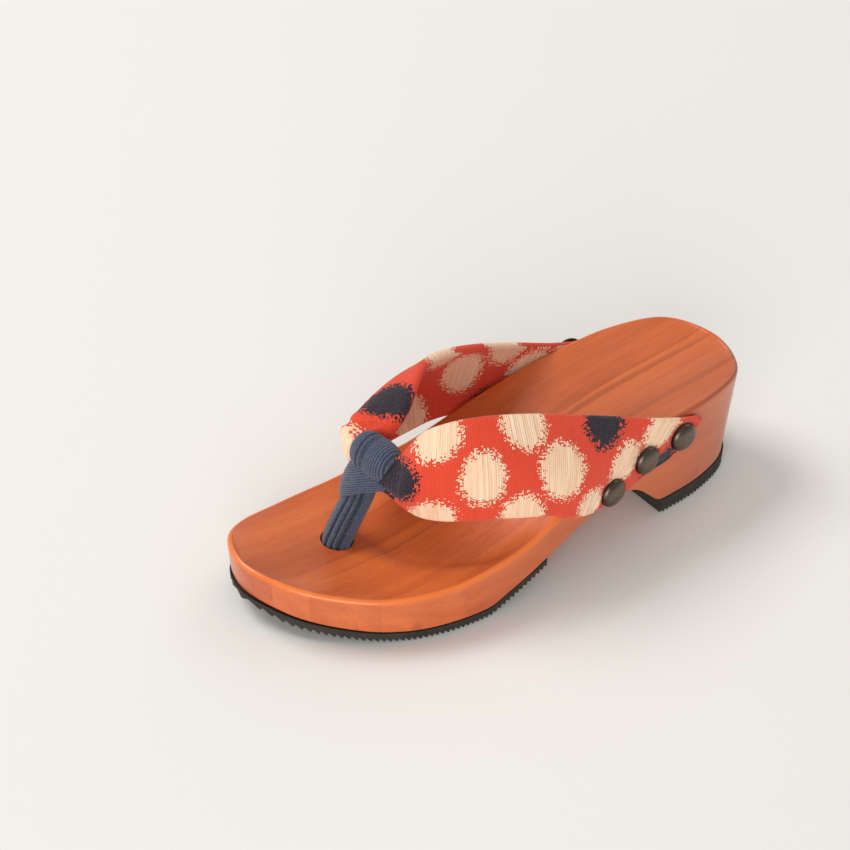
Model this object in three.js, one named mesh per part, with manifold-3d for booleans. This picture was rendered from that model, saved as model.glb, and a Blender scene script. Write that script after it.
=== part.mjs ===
/**
 * Wooden geta sandal for the left foot: a one-piece wooden base with its heel, a rubber
 * outsole under the forefoot, a rubber heel tip, a pair of fabric straps joined at the
 * front, a cord toe post knotted round that join, and six domed tacks.
 *
 * Millimetres. +Z is up, the toe points to -Y, the outer side of the foot is +X, and the
 * whole stands on z = 0 with the origin under the middle of its bounding box.
 */
import * as THREE from 'three';
import { mergeVertices } from 'three/addons/utils/BufferGeometryUtils.js';
import Module from 'manifold-3d';

const wasm = await Module();
wasm.setup();

// ---------------------------------------------------------------- driving dimensions

const BASE_LENGTH = 241.5;
const TOE_Y = -121.5;
const HEEL_Y = TOE_Y + BASE_LENGTH;
const JOINT_GAP = 0.3;

/** Plan of the wooden base: where each edge lies at a fraction of the length from the toe. */
const PLAN_TOE = { at: 0, x: -14 };
const PLAN_HEEL = { at: 1, x: 10 };
const PLAN_ROWS = [
  { at: 0.026, medial: -32.8, lateral: 6.0 },
  { at: 0.066, medial: -39.8, lateral: 19.4 },
  { at: 0.155, medial: -42.6, lateral: 37.3 },
  { at: 0.275, medial: -41.4, lateral: 48.0 },
  { at: 0.424, medial: -36.5, lateral: 49.8 },
  { at: 0.583, medial: -31.7, lateral: 45.4 },
  { at: 0.732, medial: -27.6, lateral: 43.1 },
  { at: 0.861, medial: -24.0, lateral: 41.9 },
  { at: 0.95, medial: -16.6, lateral: 35.6 },
  { at: 0.982, medial: -7.6, lateral: 26.4 },
];

/** Height of the rim, depth of the dished footbed below it, and inward lean of the wall. */
const RIM_ROWS = [
  { at: 0.0, rim: 28.0, dish: 1.6, lean: 1.2 },
  { at: 0.086, rim: 24.9, dish: 2.0, lean: 1.1 },
  { at: 0.175, rim: 23.4, dish: 2.8, lean: 0.9 },
  { at: 0.255, rim: 23.8, dish: 3.2, lean: 0.6 },
  { at: 0.334, rim: 26.2, dish: 3.2, lean: 0.6 },
  { at: 0.424, rim: 29.8, dish: 2.8, lean: 0.6 },
  { at: 0.503, rim: 36.0, dish: 2.6, lean: 0.6 },
  { at: 0.583, rim: 42.6, dish: 2.6, lean: 0.7 },
  { at: 0.672, rim: 48.4, dish: 2.8, lean: 0.9 },
  { at: 0.752, rim: 51.8, dish: 3.0, lean: 1.3 },
  { at: 0.831, rim: 53.5, dish: 3.0, lean: 1.9 },
  { at: 0.92, rim: 54.3, dish: 2.6, lean: 2.3 },
  { at: 1.0, rim: 54.6, dish: 2.0, lean: 2.5 },
];

/** Underside of the wood: toe spring, forefoot flat, arch, breast of the heel, heel flat. */
const UNDERSIDE_ROWS = [
  { at: 0.0, height: 13.2, rubber: 3.4 },
  { at: 0.046, height: 9.9, rubber: 4.9 },
  { at: 0.096, height: 7.6, rubber: 4.9 },
  { at: 0.155, height: 5.8, rubber: 4.9 },
  { at: 0.215, height: 4.9, rubber: 4.9 },
  { at: 0.334, height: 4.9, rubber: 4.9 },
  { at: 0.384, height: 8.6, rubber: 4.9 },
  { at: 0.463, height: 15.2, rubber: 4.6 },
  { at: 0.533, height: 20.0, rubber: 4.6 },
  { at: 0.602, height: 24.2, rubber: 4.6 },
  { at: 0.637, height: 25.4, rubber: 4.6 },
  { at: 0.672, height: 24.6, rubber: 4.6 },
  { at: 0.702, height: 21.2, rubber: 4.6 },
  { at: 0.732, height: 14.6, rubber: 4.6 },
  { at: 0.757, height: 8.8, rubber: 4.6 },
  { at: 0.767, height: 8.0, rubber: 8.0 },
  { at: 1.0, height: 8.0, rubber: 8.0 },
];

const RIM_RADIUS = 2.0;
const FOOT_EDGE_RADIUS = 0.8;
const FOREFOOT_RUBBER_END_Y = -8;
const HEEL_RUBBER_START_Y = 63;

/** Straps: a row per section, from the knot to the tacked end. */
const LATERAL_STRAP_ROWS = [
  { low: [-11, -61.5, 50.5], high: [-11, -60, 64], crown: 0.5, thickness: 10.5 },
  { low: [-3, -61.5, 50.5], high: [-3, -60, 64], crown: 0.5, thickness: 10.5 },
  { low: [6.4, -60.5, 50.8], high: [5.4, -55.4, 65.2], crown: 3, thickness: 8 },
  { low: [12.4, -57.4, 45.4], high: [8.2, -52, 70.4], crown: 7, thickness: 5.6 },
  { low: [19, -53, 42], high: [12, -47, 78], crown: 8, thickness: 4.4 },
  { low: [28.5, -45, 42], high: [18, -38, 82.5], crown: 7, thickness: 3.8 },
  { low: [37, -33.5, 43], high: [23.5, -27, 83.8], crown: 6, thickness: 3.4 },
  { low: [43.5, -20, 41.5], high: [28, -13, 81.5], crown: 5.5, thickness: 3.2 },
  { low: [47.5, -7, 38.5], high: [32, 3.5, 76.7], crown: 5, thickness: 3.0 },
  { low: [49.6, 5, 33], high: [35.4, 19, 71], crown: 4.5, thickness: 2.8 },
  { low: [48.4, 15, 29.5], high: [38.4, 34.5, 65], crown: 4, thickness: 2.6 },
  { low: [47.2, 25.5, 28.5], high: [41.4, 49.5, 59], crown: 3, thickness: 2.4 },
  { low: [46.2, 36.5, 30.5], high: [43.9, 61, 55.3], crown: 1.4, thickness: 2.4 },
  { low: [45.6, 48, 33.5], high: [45.0, 70, 52.2], crown: 0.5, thickness: 2.4 },
  { low: [45.1, 60.5, 35.3], high: [44.9, 76.5, 49.8], crown: 0, thickness: 2.4 },
  { low: [44.6, 73, 38.4], high: [44.4, 80, 47.2], crown: 0, thickness: 2.4 },
];

const MEDIAL_STRAP_ROWS = [
  { low: [-2, -61, 54], high: [-2, -60.4, 60.4], crown: 0.2, thickness: 5 },
  { low: [-8.5, -61.2, 52.2], high: [-8.5, -60.2, 62.4], crown: 0.4, thickness: 7.6 },
  { low: [-15, -61.5, 50], high: [-11, -54.5, 65], crown: 6, thickness: 8 },
  { low: [-21, -58.5, 45.5], high: [-9.5, -48.5, 68.5], crown: 12.5, thickness: 5.6 },
  { low: [-27, -52, 42], high: [-10.5, -40, 73.5], crown: 11.6, thickness: 4.4 },
  { low: [-31.5, -42, 39.5], high: [-15, -31.5, 79], crown: 10.4, thickness: 3.8 },
  { low: [-34.5, -30, 37.5], high: [-20.2, -24, 81.2], crown: 9, thickness: 3.4 },
  { low: [-36, -18, 36.5], high: [-25, -14.5, 80], crown: 6.4, thickness: 3.2 },
  { low: [-36.6, -6, 36], high: [-27.4, -3, 77.2], crown: 4.5, thickness: 3.0 },
  { low: [-36, 5, 34.5], high: [-28.6, 8, 73.6], crown: 4, thickness: 2.8 },
  { low: [-34.6, 16, 31], high: [-29.2, 21.5, 68.6], crown: 3.4, thickness: 2.6 },
  { low: [-32.6, 27, 30], high: [-29.2, 36, 62.6], crown: 2.4, thickness: 2.4 },
  { low: [-31.0, 38, 31.5], high: [-28.9, 49.5, 56.6], crown: 1.2, thickness: 2.4 },
  { low: [-29.7, 49, 34.2], high: [-28.4, 61, 52.0], crown: 0.5, thickness: 2.4 },
  { low: [-28.6, 61, 35.3], high: [-27.9, 71, 49.2], crown: 0, thickness: 2.4 },
  { low: [-27.4, 73, 38.4], high: [-27.0, 79.5, 46.6], crown: 0, thickness: 2.4 },
];

/** Toe post: a row per section of the folded cord, from the stop under the base upwards. */
const POST_ROWS = [
  { centre: [-10, -75, 6.4], halfWidth: 10, halfDepth: 9 },
  { centre: [-10, -75, 9.6], halfWidth: 10, halfDepth: 9 },
  { centre: [-10, -75, 9.9], halfWidth: 7, halfDepth: 6.2 },
  { centre: [-10, -75, 17], halfWidth: 7, halfDepth: 6.2 },
  { centre: [-9.9, -74.8, 20.5], halfWidth: 7.1, halfDepth: 6.3 },
  { centre: [-9.2, -72.6, 27], halfWidth: 7.3, halfDepth: 6.5 },
  { centre: [-8.0, -69.4, 35], halfWidth: 7.3, halfDepth: 6.5 },
  { centre: [-6.8, -66, 43], halfWidth: 7.2, halfDepth: 6.4 },
  { centre: [-6, -63.6, 50.5], halfWidth: 6.6, halfDepth: 6.2 },
];
const POST_HOLE = { x: -10, y: -75, halfWidth: 7.6, halfDepth: 6.9 };
const STOP_RECESS = { halfWidth: 11, halfDepth: 10, roof: 10.4 };
/** The loop that ties the straps and the collar below it: half sizes, squareness and turns. */
const KNOT_LOOP = {
  centre: [-3.8, -60.6, 58.2],
  halves: [10.4, 9.8, 11.8],
  power: 0.55,
  turn: 0.1,
};
const KNOT_COLLAR = {
  centre: [-6.2, -64.8, 47.4],
  halves: [10.8, 8.8, 6.8],
  power: 0.85,
  roll: -0.2,
};

/** Tacks: how far along the base each stands, and its height above the floor. */
const TACK_ROWS = [
  { y: 25.8, z: 35.2 },
  { y: 46, z: 42.0 },
  { y: 67.4, z: 44.2 },
];
const TACK_HEAD_RADIUS = 6.7;
const TACK_HEAD_HEIGHT = 3.8;
const TACK_RIM_HEIGHT = 0.8;
const TACK_SHANK_RADIUS = 1.2;
const TACK_SHANK_LENGTH = 11;
const TACK_CLEARANCE = 0.35;

const WOOD = { color: 0xb5622f, roughness: 0.38, metalness: 0 };
const RUBBER = { color: 0x2b2927, roughness: 0.85, metalness: 0 };
const PRINTED_FABRIC = { color: 0xd2452c, roughness: 0.9, metalness: 0 };
const NAVY_FABRIC = { color: 0x31405f, roughness: 0.92, metalness: 0 };
const ANTIQUE_METAL = { color: 0x6a6256, roughness: 0.35, metalness: 0.9 };

// ---------------------------------------------------------------- curves and solids

/** A smooth function through one column of a table, which never overshoots its rows. */
function columnCurve(rows, column) {
  const at = rows.map((row) => row.at);
  const value = rows.map((row) => row[column]);
  const slope = at.slice(1).map((x, i) => (value[i + 1] - value[i]) / (x - at[i]));
  const tangent = value.map((_, i) => {
    const before = slope[i - 1];
    const after = slope[i];
    if (before === undefined || after === undefined) return before ?? after;
    return before * after <= 0 ? 0 : (2 * before * after) / (before + after);
  });
  return (x) => {
    const last = at.length - 2;
    const i = Math.max(0, Math.min(last, at.findLastIndex((knot) => knot <= x)));
    const span = at[i + 1] - at[i];
    const t = THREE.MathUtils.clamp((x - at[i]) / span, 0, 1);
    const s = 1 - t;
    const ends = value[i] * s * s * (1 + 2 * t) + value[i + 1] * t * t * (1 + 2 * s);
    return ends + span * t * s * (tangent[i] * s - tangent[i + 1] * t);
  };
}

/** A position-only geometry from vertices and triangles. */
function geometryFrom(vertices, triangles) {
  const geometry = new THREE.BufferGeometry();
  const flat = vertices.flatMap((v) => v.toArray());
  geometry.setAttribute('position', new THREE.Float32BufferAttribute(flat, 3));
  geometry.setIndex(triangles.flat());
  return geometry;
}

/** A geometry as a manifold solid. */
function solidOf(geometry) {
  const bare = geometry.clone();
  bare.deleteAttribute('normal');
  bare.deleteAttribute('uv');
  const merged = mergeVertices(bare, 1e-4);
  const mesh = new wasm.Mesh({
    numProp: 3,
    vertProperties: new Float32Array(merged.attributes.position.array),
    triVerts: new Uint32Array(merged.index.array),
  });
  return new wasm.Manifold(mesh);
}

/** A manifold solid as a geometry. */
function geometryOf(solid) {
  const mesh = solid.getMesh();
  const geometry = new THREE.BufferGeometry();
  const positions = new Float32Array(mesh.vertProperties);
  geometry.setAttribute('position', new THREE.BufferAttribute(positions, 3));
  geometry.setIndex(new THREE.BufferAttribute(new Uint32Array(mesh.triVerts), 1));
  return geometry;
}

/** Six times the signed volume of a mesh: negative where its faces point inwards. */
function signedVolume(vertices, triangles) {
  const cross = new THREE.Vector3();
  const share = ([a, b, c]) => cross.crossVectors(vertices[a], vertices[b]).dot(vertices[c]);
  return triangles.reduce((sum, triangle) => sum + share(triangle), 0);
}

/** A closed solid through a row of rings with the same number of points, capped at both ends. */
function loft(rings) {
  const size = rings[0].length;
  const vertices = rings.flat();
  const triangles = [];
  for (let ring = 0; ring < rings.length - 1; ring += 1) {
    for (let k = 0; k < size; k += 1) {
      const next = (k + 1) % size;
      const [a, b] = [ring * size + k, ring * size + next];
      const [c, d] = [a + size, b + size];
      triangles.push([a, b, d], [a, d, c]);
    }
  }
  const capCentre = (ring) => {
    const sum = ring.reduce((total, point) => total.add(point), new THREE.Vector3());
    return sum.divideScalar(size);
  };
  const first = vertices.push(capCentre(rings[0])) - 1;
  const last = vertices.push(capCentre(rings.at(-1))) - 1;
  const lastStart = (rings.length - 1) * size;
  for (let k = 0; k < size; k += 1) {
    const next = (k + 1) % size;
    triangles.push([first, next, k], [last, lastStart + k, lastStart + next]);
  }
  const inwards = signedVolume(vertices, triangles) < 0;
  return geometryFrom(vertices, inwards ? triangles.map(([a, b, c]) => [a, c, b]) : triangles);
}

/** The largest body of a solid, without the slivers that a cut can leave. */
function mainBody(solid) {
  return solid.decompose().reduce((best, piece) => (piece.volume() > best.volume() ? piece : best));
}

/** A level ellipse of points round a centre. */
function ellipseRing(centre, halfWidth, halfDepth, sides = 20) {
  return Array.from({ length: sides }, (_, k) => {
    const angle = (2 * Math.PI * k) / sides;
    const point = new THREE.Vector3(halfWidth * Math.cos(angle), halfDepth * Math.sin(angle), 0);
    return point.add(new THREE.Vector3(...centre));
  });
}

/** A box as a solid, from its two opposite corners. */
function boxBetween(low, high) {
  const size = high.map((value, axis) => value - low[axis]);
  const centre = high.map((value, axis) => (value + low[axis]) / 2);
  return solidOf(new THREE.BoxGeometry(...size).translate(...centre));
}

// ---------------------------------------------------------------- wooden base

const PLAN_STATIONS = 36;
const FOOTBED_COLUMNS = 8;
const UNDERSIDE_COLUMNS = 4;
const DISH_POWER = 3;
const stationOf = (y) => (y - TOE_Y) / BASE_LENGTH;
const rimHeight = columnCurve(RIM_ROWS, 'rim');
const dishDepth = columnCurve(RIM_ROWS, 'dish');
const wallLean = columnCurve(RIM_ROWS, 'lean');
const undersideHeight = columnCurve(UNDERSIDE_ROWS, 'height');
const rubberThickness = columnCurve(UNDERSIDE_ROWS, 'rubber');

/**
 * The plan outline, counter-clockwise from the toe tip: toe, lateral stations, heel,
 * medial stations. Station i of one side and station i of the other share one y.
 */
function planOutline() {
  const yOf = (at) => TOE_Y + at * BASE_LENGTH;
  const points = [
    [PLAN_TOE.x, yOf(PLAN_TOE.at)],
    ...PLAN_ROWS.map((row) => [row.lateral, yOf(row.at)]),
    [PLAN_HEEL.x, yOf(PLAN_HEEL.at)],
    ...PLAN_ROWS.toReversed().map((row) => [row.medial, yOf(row.at)]),
  ];
  const knots = points.map(([x, y]) => new THREE.Vector3(x, y, 0));
  const curve = new THREE.CatmullRomCurve3(knots, true, 'centripetal');
  const fine = curve.getPoints(1200).slice(0, -1);
  const toe = fine.reduce((best, p, i) => (p.y < fine[best].y ? i : best), 0);
  const fromToe = [...fine.slice(toe), ...fine.slice(0, toe)];
  const heel = fromToe.reduce((best, p, i) => (p.y > fromToe[best].y ? i : best), 0);
  const lateral = fromToe.slice(0, heel + 1);
  const medial = [fromToe[0], ...fromToe.slice(heel).toReversed()];
  const [toeY, heelY] = [fromToe[0].y, fromToe[heel].y];
  const edgeAt = (side, y) => {
    const i = Math.max(1, side.findIndex((p) => p.y >= y));
    const t = (y - side[i - 1].y) / (side[i].y - side[i - 1].y || 1);
    return new THREE.Vector2(THREE.MathUtils.lerp(side[i - 1].x, side[i].x, t), y);
  };
  const stationY = (i) => toeY + ((heelY - toeY) * (1 - Math.cos((Math.PI * i) / PLAN_STATIONS))) / 2;
  const inner = Array.from({ length: PLAN_STATIONS - 1 }, (_, i) => stationY(i + 1));
  return [
    new THREE.Vector2(fromToe[0].x, toeY),
    ...inner.map((y) => edgeAt(lateral, y)),
    new THREE.Vector2(fromToe[heel].x, heelY),
    ...inner.toReversed().map((y) => edgeAt(medial, y)),
  ];
}

const OUTLINE = planOutline();
const OUTWARD = OUTLINE.map((_, j) => {
  const before = OUTLINE.at(j - 1);
  const after = OUTLINE[(j + 1) % OUTLINE.length];
  return new THREE.Vector2(after.y - before.y, before.x - after.x).normalize();
});

/** A ring of the outline moved inwards, each point at its own height. */
function planRing(insetAt, heightAt) {
  return OUTLINE.map((point, j) => {
    const at = stationOf(point.y);
    const moved = point.clone().addScaledVector(OUTWARD[j], -insetAt(at));
    return new THREE.Vector3(moved.x, moved.y, heightAt(at));
  });
}

/**
 * A slab with the plan's outline: a wall through rings from the lowest up, then a top and
 * an underside, each a grid across the foot whose sag comes from sagAt(at, across).
 */
function planSlab(rings, topSagAt, topColumns) {
  const size = OUTLINE.length;
  const vertices = rings.flat();
  const triangles = [];
  for (let ring = 0; ring < rings.length - 1; ring += 1) {
    for (let j = 0; j < size; j += 1) {
      const next = (j + 1) % size;
      const [a, b] = [ring * size + j, ring * size + next];
      triangles.push([a, b, b + size], [a, b + size, a + size]);
    }
  }
  const closeFace = (start, columns, sagAt, facesUp) => {
    const row = (i) => {
      const [medial, lateral] = [start + size - i, start + i];
      const inner = Array.from({ length: columns - 1 }, (_, k) => {
        const across = (1 - Math.cos((Math.PI * (k + 1)) / columns)) / 2;
        const point = vertices[medial].clone().lerp(vertices[lateral], across);
        point.z -= sagAt(stationOf(point.y), across);
        return vertices.push(point) - 1;
      });
      return [medial, ...inner, lateral];
    };
    const add = (a, b, c) => triangles.push(facesUp ? [a, b, c] : [a, c, b]);
    const rows = Array.from({ length: PLAN_STATIONS - 1 }, (_, i) => row(i + 1));
    for (let k = 0; k < columns; k += 1) {
      add(start, rows[0][k + 1], rows[0][k]);
      add(start + PLAN_STATIONS, rows.at(-1)[k], rows.at(-1)[k + 1]);
      for (let i = 0; i < rows.length - 1; i += 1) {
        add(rows[i][k], rows[i][k + 1], rows[i + 1][k + 1]);
        add(rows[i][k], rows[i + 1][k + 1], rows[i + 1][k]);
      }
    }
  };
  closeFace((rings.length - 1) * size, topColumns, topSagAt, true);
  closeFace(0, UNDERSIDE_COLUMNS, () => 0, false);
  return solidOf(geometryFrom(vertices, triangles));
}

/** The wooden block without its holes, grown outwards and upwards by a clearance. */
function woodenBlock(clearance = 0) {
  const halfCorner = RIM_RADIUS * (1 - Math.SQRT1_2);
  const ring = (insetAt, heightAt) => planRing((at) => insetAt(at) - clearance, heightAt);
  const rings = [
    ring((at) => wallLean(at) + FOOT_EDGE_RADIUS, (at) => undersideHeight(at) - clearance),
    ring(wallLean, (at) => undersideHeight(at) + FOOT_EDGE_RADIUS - clearance),
    ring(() => 0, (at) => rimHeight(at) - RIM_RADIUS),
    ring(() => halfCorner, (at) => rimHeight(at) - halfCorner + clearance),
    ring(() => RIM_RADIUS, (at) => rimHeight(at) + clearance),
  ];
  const sag = (at, across) => dishDepth(at) * (1 - Math.abs(2 * across - 1) ** DISH_POWER);
  return planSlab(rings, sag, FOOTBED_COLUMNS);
}

/** A point on the outer wall of the base near its rim, and the wall's outward direction. */
function wallAt(y, side) {
  const indices = OUTLINE.keys().filter((j) => Math.sign(OUTWARD[j].x) === side).toArray();
  const away = (j) => Math.abs(OUTLINE[j].y - y);
  const nearest = indices.reduce((best, j) => (away(j) < away(best) ? j : best));
  const outward = new THREE.Vector3(OUTWARD[nearest].x, OUTWARD[nearest].y, 0);
  const offset = (y - OUTLINE[nearest].y) / outward.x;
  return { point: new THREE.Vector3(OUTLINE[nearest].x - outward.y * offset, y, 0), outward };
}

/** The post's hole through the forefoot, with the recess for its stop underneath. */
function postHole() {
  const sides = 28;
  const drilled = ({ halfWidth, halfDepth }, roof) => {
    const ringAt = (z) => ellipseRing([POST_HOLE.x, POST_HOLE.y, z], halfWidth, halfDepth, sides);
    return solidOf(loft([ringAt(0), ringAt(roof)]));
  };
  return drilled(POST_HOLE, 40).add(drilled(STOP_RECESS, STOP_RECESS.roof));
}

// ---------------------------------------------------------------- rubber

/** A rubber sole piece between two places along the foot, on the underside of the wood. */
function rubberSole(fromY, toY) {
  const treadHeight = (at) => undersideHeight(at) - rubberThickness(at);
  const rings = [
    planRing((at) => wallLean(at) + FOOT_EDGE_RADIUS / 2, treadHeight),
    planRing(wallLean, (at) => undersideHeight(at) - JOINT_GAP),
  ];
  const keep = boxBetween([-100, fromY, -1], [100, toY, 40]);
  return planSlab(rings, () => 0, UNDERSIDE_COLUMNS).intersect(keep);
}

// ---------------------------------------------------------------- straps

const STRAP_RINGS = 33;
const STRAP_FACE_STEPS = 8;
const STRAP_EDGE_STEPS = 3;

/**
 * One strap as a flattened tube of fabric. Each section is a band with round edges, from
 * its low edge to its high edge, arched outwards by its crown.
 */
function strap(rows, side, clearance = 0) {
  const through = (pick) => new THREE.CatmullRomCurve3(rows.map(pick), false, 'centripetal');
  const low = through((row) => new THREE.Vector3(...row.low));
  const high = through((row) => new THREE.Vector3(...row.high));
  const body = through((row, i) => new THREE.Vector3(row.crown, row.thickness, i));
  const middle = (t) => low.getPoint(t).lerp(high.getPoint(t), 0.5);
  const rings = Array.from({ length: STRAP_RINGS }, (_, i) => {
    const t = i / (STRAP_RINGS - 1);
    const step = 0.5 / (STRAP_RINGS - 1);
    const ahead = middle(Math.min(1, t + step)).sub(middle(Math.max(0, t - step))).normalize();
    const across = high.getPoint(t).sub(low.getPoint(t));
    const halfThickness = body.getPoint(t).y / 2 + clearance;
    const halfChord = across.length() / 2 + clearance - halfThickness;
    across.normalize();
    const outward = new THREE.Vector3().crossVectors(ahead, across).multiplyScalar(side).normalize();
    const crown = body.getPoint(t).x;
    const centreLine = (v) => new THREE.Vector2(halfChord * v, crown * (1 - v * v));
    const offset = (v, turn, distance) => {
      const direction = new THREE.Vector2(2 * crown * v, Math.max(halfChord, 0.1)).normalize();
      direction.rotateAround(new THREE.Vector2(), turn);
      return centreLine(v).addScaledVector(direction, distance);
    };
    const faceV = (k) => (2 * k) / STRAP_FACE_STEPS - 1;
    const face = Array.from({ length: STRAP_FACE_STEPS + 1 }, (_, k) => k);
    const edgeTurn = (k) => (Math.PI * (k + 1)) / (STRAP_EDGE_STEPS + 1);
    const edge = Array.from({ length: STRAP_EDGE_STEPS }, (_, k) => edgeTurn(k));
    const section = [
      ...face.map((k) => offset(faceV(k), 0, halfThickness)),
      ...edge.map((turn) => offset(1, -turn, halfThickness)),
      ...face.toReversed().map((k) => offset(faceV(k), Math.PI, halfThickness)),
      ...edge.map((turn) => offset(-1, Math.PI - turn, halfThickness)),
    ];
    const centre = middle(t);
    const placed = (p) => centre.clone().addScaledVector(across, p.x).addScaledVector(outward, p.y);
    return section.map(placed);
  });
  return solidOf(loft(rings));
}

/** Both straps, joined inside the knot. */
function strapPair(clearance = 0) {
  return strap(LATERAL_STRAP_ROWS, 1, clearance).add(strap(MEDIAL_STRAP_ROWS, -1, clearance));
}

// ---------------------------------------------------------------- toe post and knot

/** A rounded lump: an ellipsoid whose ends along X are squared off by its power. */
function roundedLump({ centre, halves, power, roll = 0, turn = 0 }) {
  const sphere = new THREE.SphereGeometry(1, 24, 14);
  const position = sphere.attributes.position;
  for (let i = 0; i < position.count; i += 1) {
    const x = position.getX(i);
    position.setX(i, Math.sign(x) * Math.abs(x) ** power);
  }
  sphere.scale(...halves).rotateY(roll).rotateZ(turn).translate(...centre);
  return solidOf(sphere);
}

/** The folded cord: post, collar and the loop that ties the two straps. */
function toePost() {
  const rings = POST_ROWS.map((row) => ellipseRing(row.centre, row.halfWidth, row.halfDepth));
  return solidOf(loft(rings)).add(roundedLump(KNOT_LOOP)).add(roundedLump(KNOT_COLLAR));
}

// ---------------------------------------------------------------- tacks

/** Where a tack's head sits: on the strap's outer face, along the wall's outward direction. */
function tackPlace({ y, z }, side, straps) {
  const { point, outward } = wallAt(y, side);
  const probe = new THREE.CylinderGeometry(0.2, 0.2, 40, 8).rotateZ(Math.PI / 2);
  const turn = Math.atan2(outward.y, outward.x);
  probe.rotateZ(turn).translate(point.x, point.y, z);
  const touched = geometryOf(straps.intersect(solidOf(probe))).attributes.position;
  let reach = 0;
  for (let i = 0; i < touched.count; i += 1) {
    const from = new THREE.Vector3().fromBufferAttribute(touched, i).sub(point);
    reach = Math.max(reach, from.x * outward.x + from.y * outward.y);
  }
  return { seat: point.clone().setZ(z).addScaledVector(outward, reach + JOINT_GAP), turn };
}

/** A tack with its axis along +X and the underside of its head on x = 0. */
function tackGeometry(radiusGrowth = 0) {
  const headSteps = 6;
  const domeHeight = TACK_HEAD_HEIGHT - TACK_RIM_HEIGHT;
  const dome = Array.from({ length: headSteps + 1 }, (_, k) => {
    const angle = (Math.PI / 2) * (k / headSteps);
    const height = TACK_RIM_HEIGHT + domeHeight * Math.sin(angle);
    return new THREE.Vector2(TACK_HEAD_RADIUS * Math.cos(angle), height);
  });
  dome.at(-1).x = 0;
  const shank = TACK_SHANK_RADIUS + radiusGrowth;
  const profile = [
    new THREE.Vector2(0, -TACK_SHANK_LENGTH - radiusGrowth),
    new THREE.Vector2(shank, -TACK_SHANK_LENGTH + 1.5 - radiusGrowth),
    new THREE.Vector2(shank, 0),
    new THREE.Vector2(TACK_HEAD_RADIUS, 0),
    ...dome,
  ];
  return new THREE.LatheGeometry(profile, 20).rotateZ(-Math.PI / 2);
}

// ---------------------------------------------------------------- assembly

function part(name, solid, finish) {
  const geometry = solid instanceof THREE.BufferGeometry ? solid : geometryOf(solid);
  geometry.computeVertexNormals();
  const mesh = new THREE.Mesh(geometry, new THREE.MeshStandardMaterial(finish));
  mesh.name = name;
  return mesh;
}

function buildSandal() {
  const straps = mainBody(strapPair().subtract(woodenBlock(JOINT_GAP)));
  const places = [1, -1].flatMap((side) => {
    const name = side > 0 ? 'lateral' : 'medial';
    const placed = (row, i) => ({ name: `tack_${name}_${i + 1}`, ...tackPlace(row, side, straps) });
    return TACK_ROWS.map(placed);
  });
  const seated = (geometry, { seat, turn }) => geometry.rotateZ(turn).translate(seat.x, seat.y, seat.z);
  const drills = places.map((place) => solidOf(seated(tackGeometry(TACK_CLEARANCE), place)));
  const drilled = (solid) => drills.reduce((rest, drill) => rest.subtract(drill), solid);

  const sandal = new THREE.Group();
  sandal.add(part('base', drilled(woodenBlock().subtract(postHole())), WOOD));
  sandal.add(part('forefoot_outsole', rubberSole(TOE_Y - 10, FOREFOOT_RUBBER_END_Y), RUBBER));
  sandal.add(part('heel_tip', rubberSole(HEEL_RUBBER_START_Y, HEEL_Y + 10), RUBBER));
  sandal.add(part('straps', drilled(straps), PRINTED_FABRIC));
  sandal.add(part('toe_post', mainBody(toePost().subtract(strapPair(JOINT_GAP))), NAVY_FABRIC));
  places.forEach((place) => sandal.add(part(place.name, seated(tackGeometry(), place), ANTIQUE_METAL)));

  const box = new THREE.Box3().setFromObject(sandal, true);
  sandal.position.set(-(box.min.x + box.max.x) / 2, -(box.min.y + box.max.y) / 2, -box.min.z);
  return sandal;
}

export default buildSandal();
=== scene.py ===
"""Looks of a wooden geta sandal for the left foot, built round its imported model.

Everything is in metres in the part's own frame: +Z is up, the toe points to -Y and the outer
side of the foot is +X. The tables hold millimetres in the last maker's frame, whose origin lies
a little inside and ahead of the part's origin; ``Last`` carries one frame into the other.
"""

import logging
import math
from collections.abc import Sequence
from dataclasses import dataclass, field
from enum import Enum

import bpy
import numpy as np
from mathutils import Matrix, Vector


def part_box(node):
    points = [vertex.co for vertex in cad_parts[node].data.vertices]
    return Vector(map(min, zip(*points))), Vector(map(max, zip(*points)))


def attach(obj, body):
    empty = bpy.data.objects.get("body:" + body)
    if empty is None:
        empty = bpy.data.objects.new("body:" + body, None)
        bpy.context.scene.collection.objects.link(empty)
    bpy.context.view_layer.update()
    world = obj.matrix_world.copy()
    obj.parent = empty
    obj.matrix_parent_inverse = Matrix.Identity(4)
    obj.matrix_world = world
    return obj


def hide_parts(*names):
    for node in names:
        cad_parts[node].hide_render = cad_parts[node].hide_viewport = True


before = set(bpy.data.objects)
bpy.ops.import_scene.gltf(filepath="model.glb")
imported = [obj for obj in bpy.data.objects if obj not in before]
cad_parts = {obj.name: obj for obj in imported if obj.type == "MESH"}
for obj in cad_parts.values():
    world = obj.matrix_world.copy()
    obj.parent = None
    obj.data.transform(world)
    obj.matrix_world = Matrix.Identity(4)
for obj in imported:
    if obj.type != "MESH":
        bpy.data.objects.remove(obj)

LOG = logging.getLogger("geta")
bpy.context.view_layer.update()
MM = 0.001
Array = np.ndarray
Point = tuple[float, float, float]


# ------------------------------------------------------------------ curves


def smooth_step(low: float, high: float, value: Array) -> Array:
    """Rises smoothly from 0 at low to 1 at high.

    Args:
        low: where the rise begins.
        high: where it ends; it may lie below low.
        value: the values to look up.

    Returns:
        The share of the rise at each value.
    """
    share = np.clip((value - low) / (high - low), 0.0, 1.0)
    return share * share * (3.0 - 2.0 * share)


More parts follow.
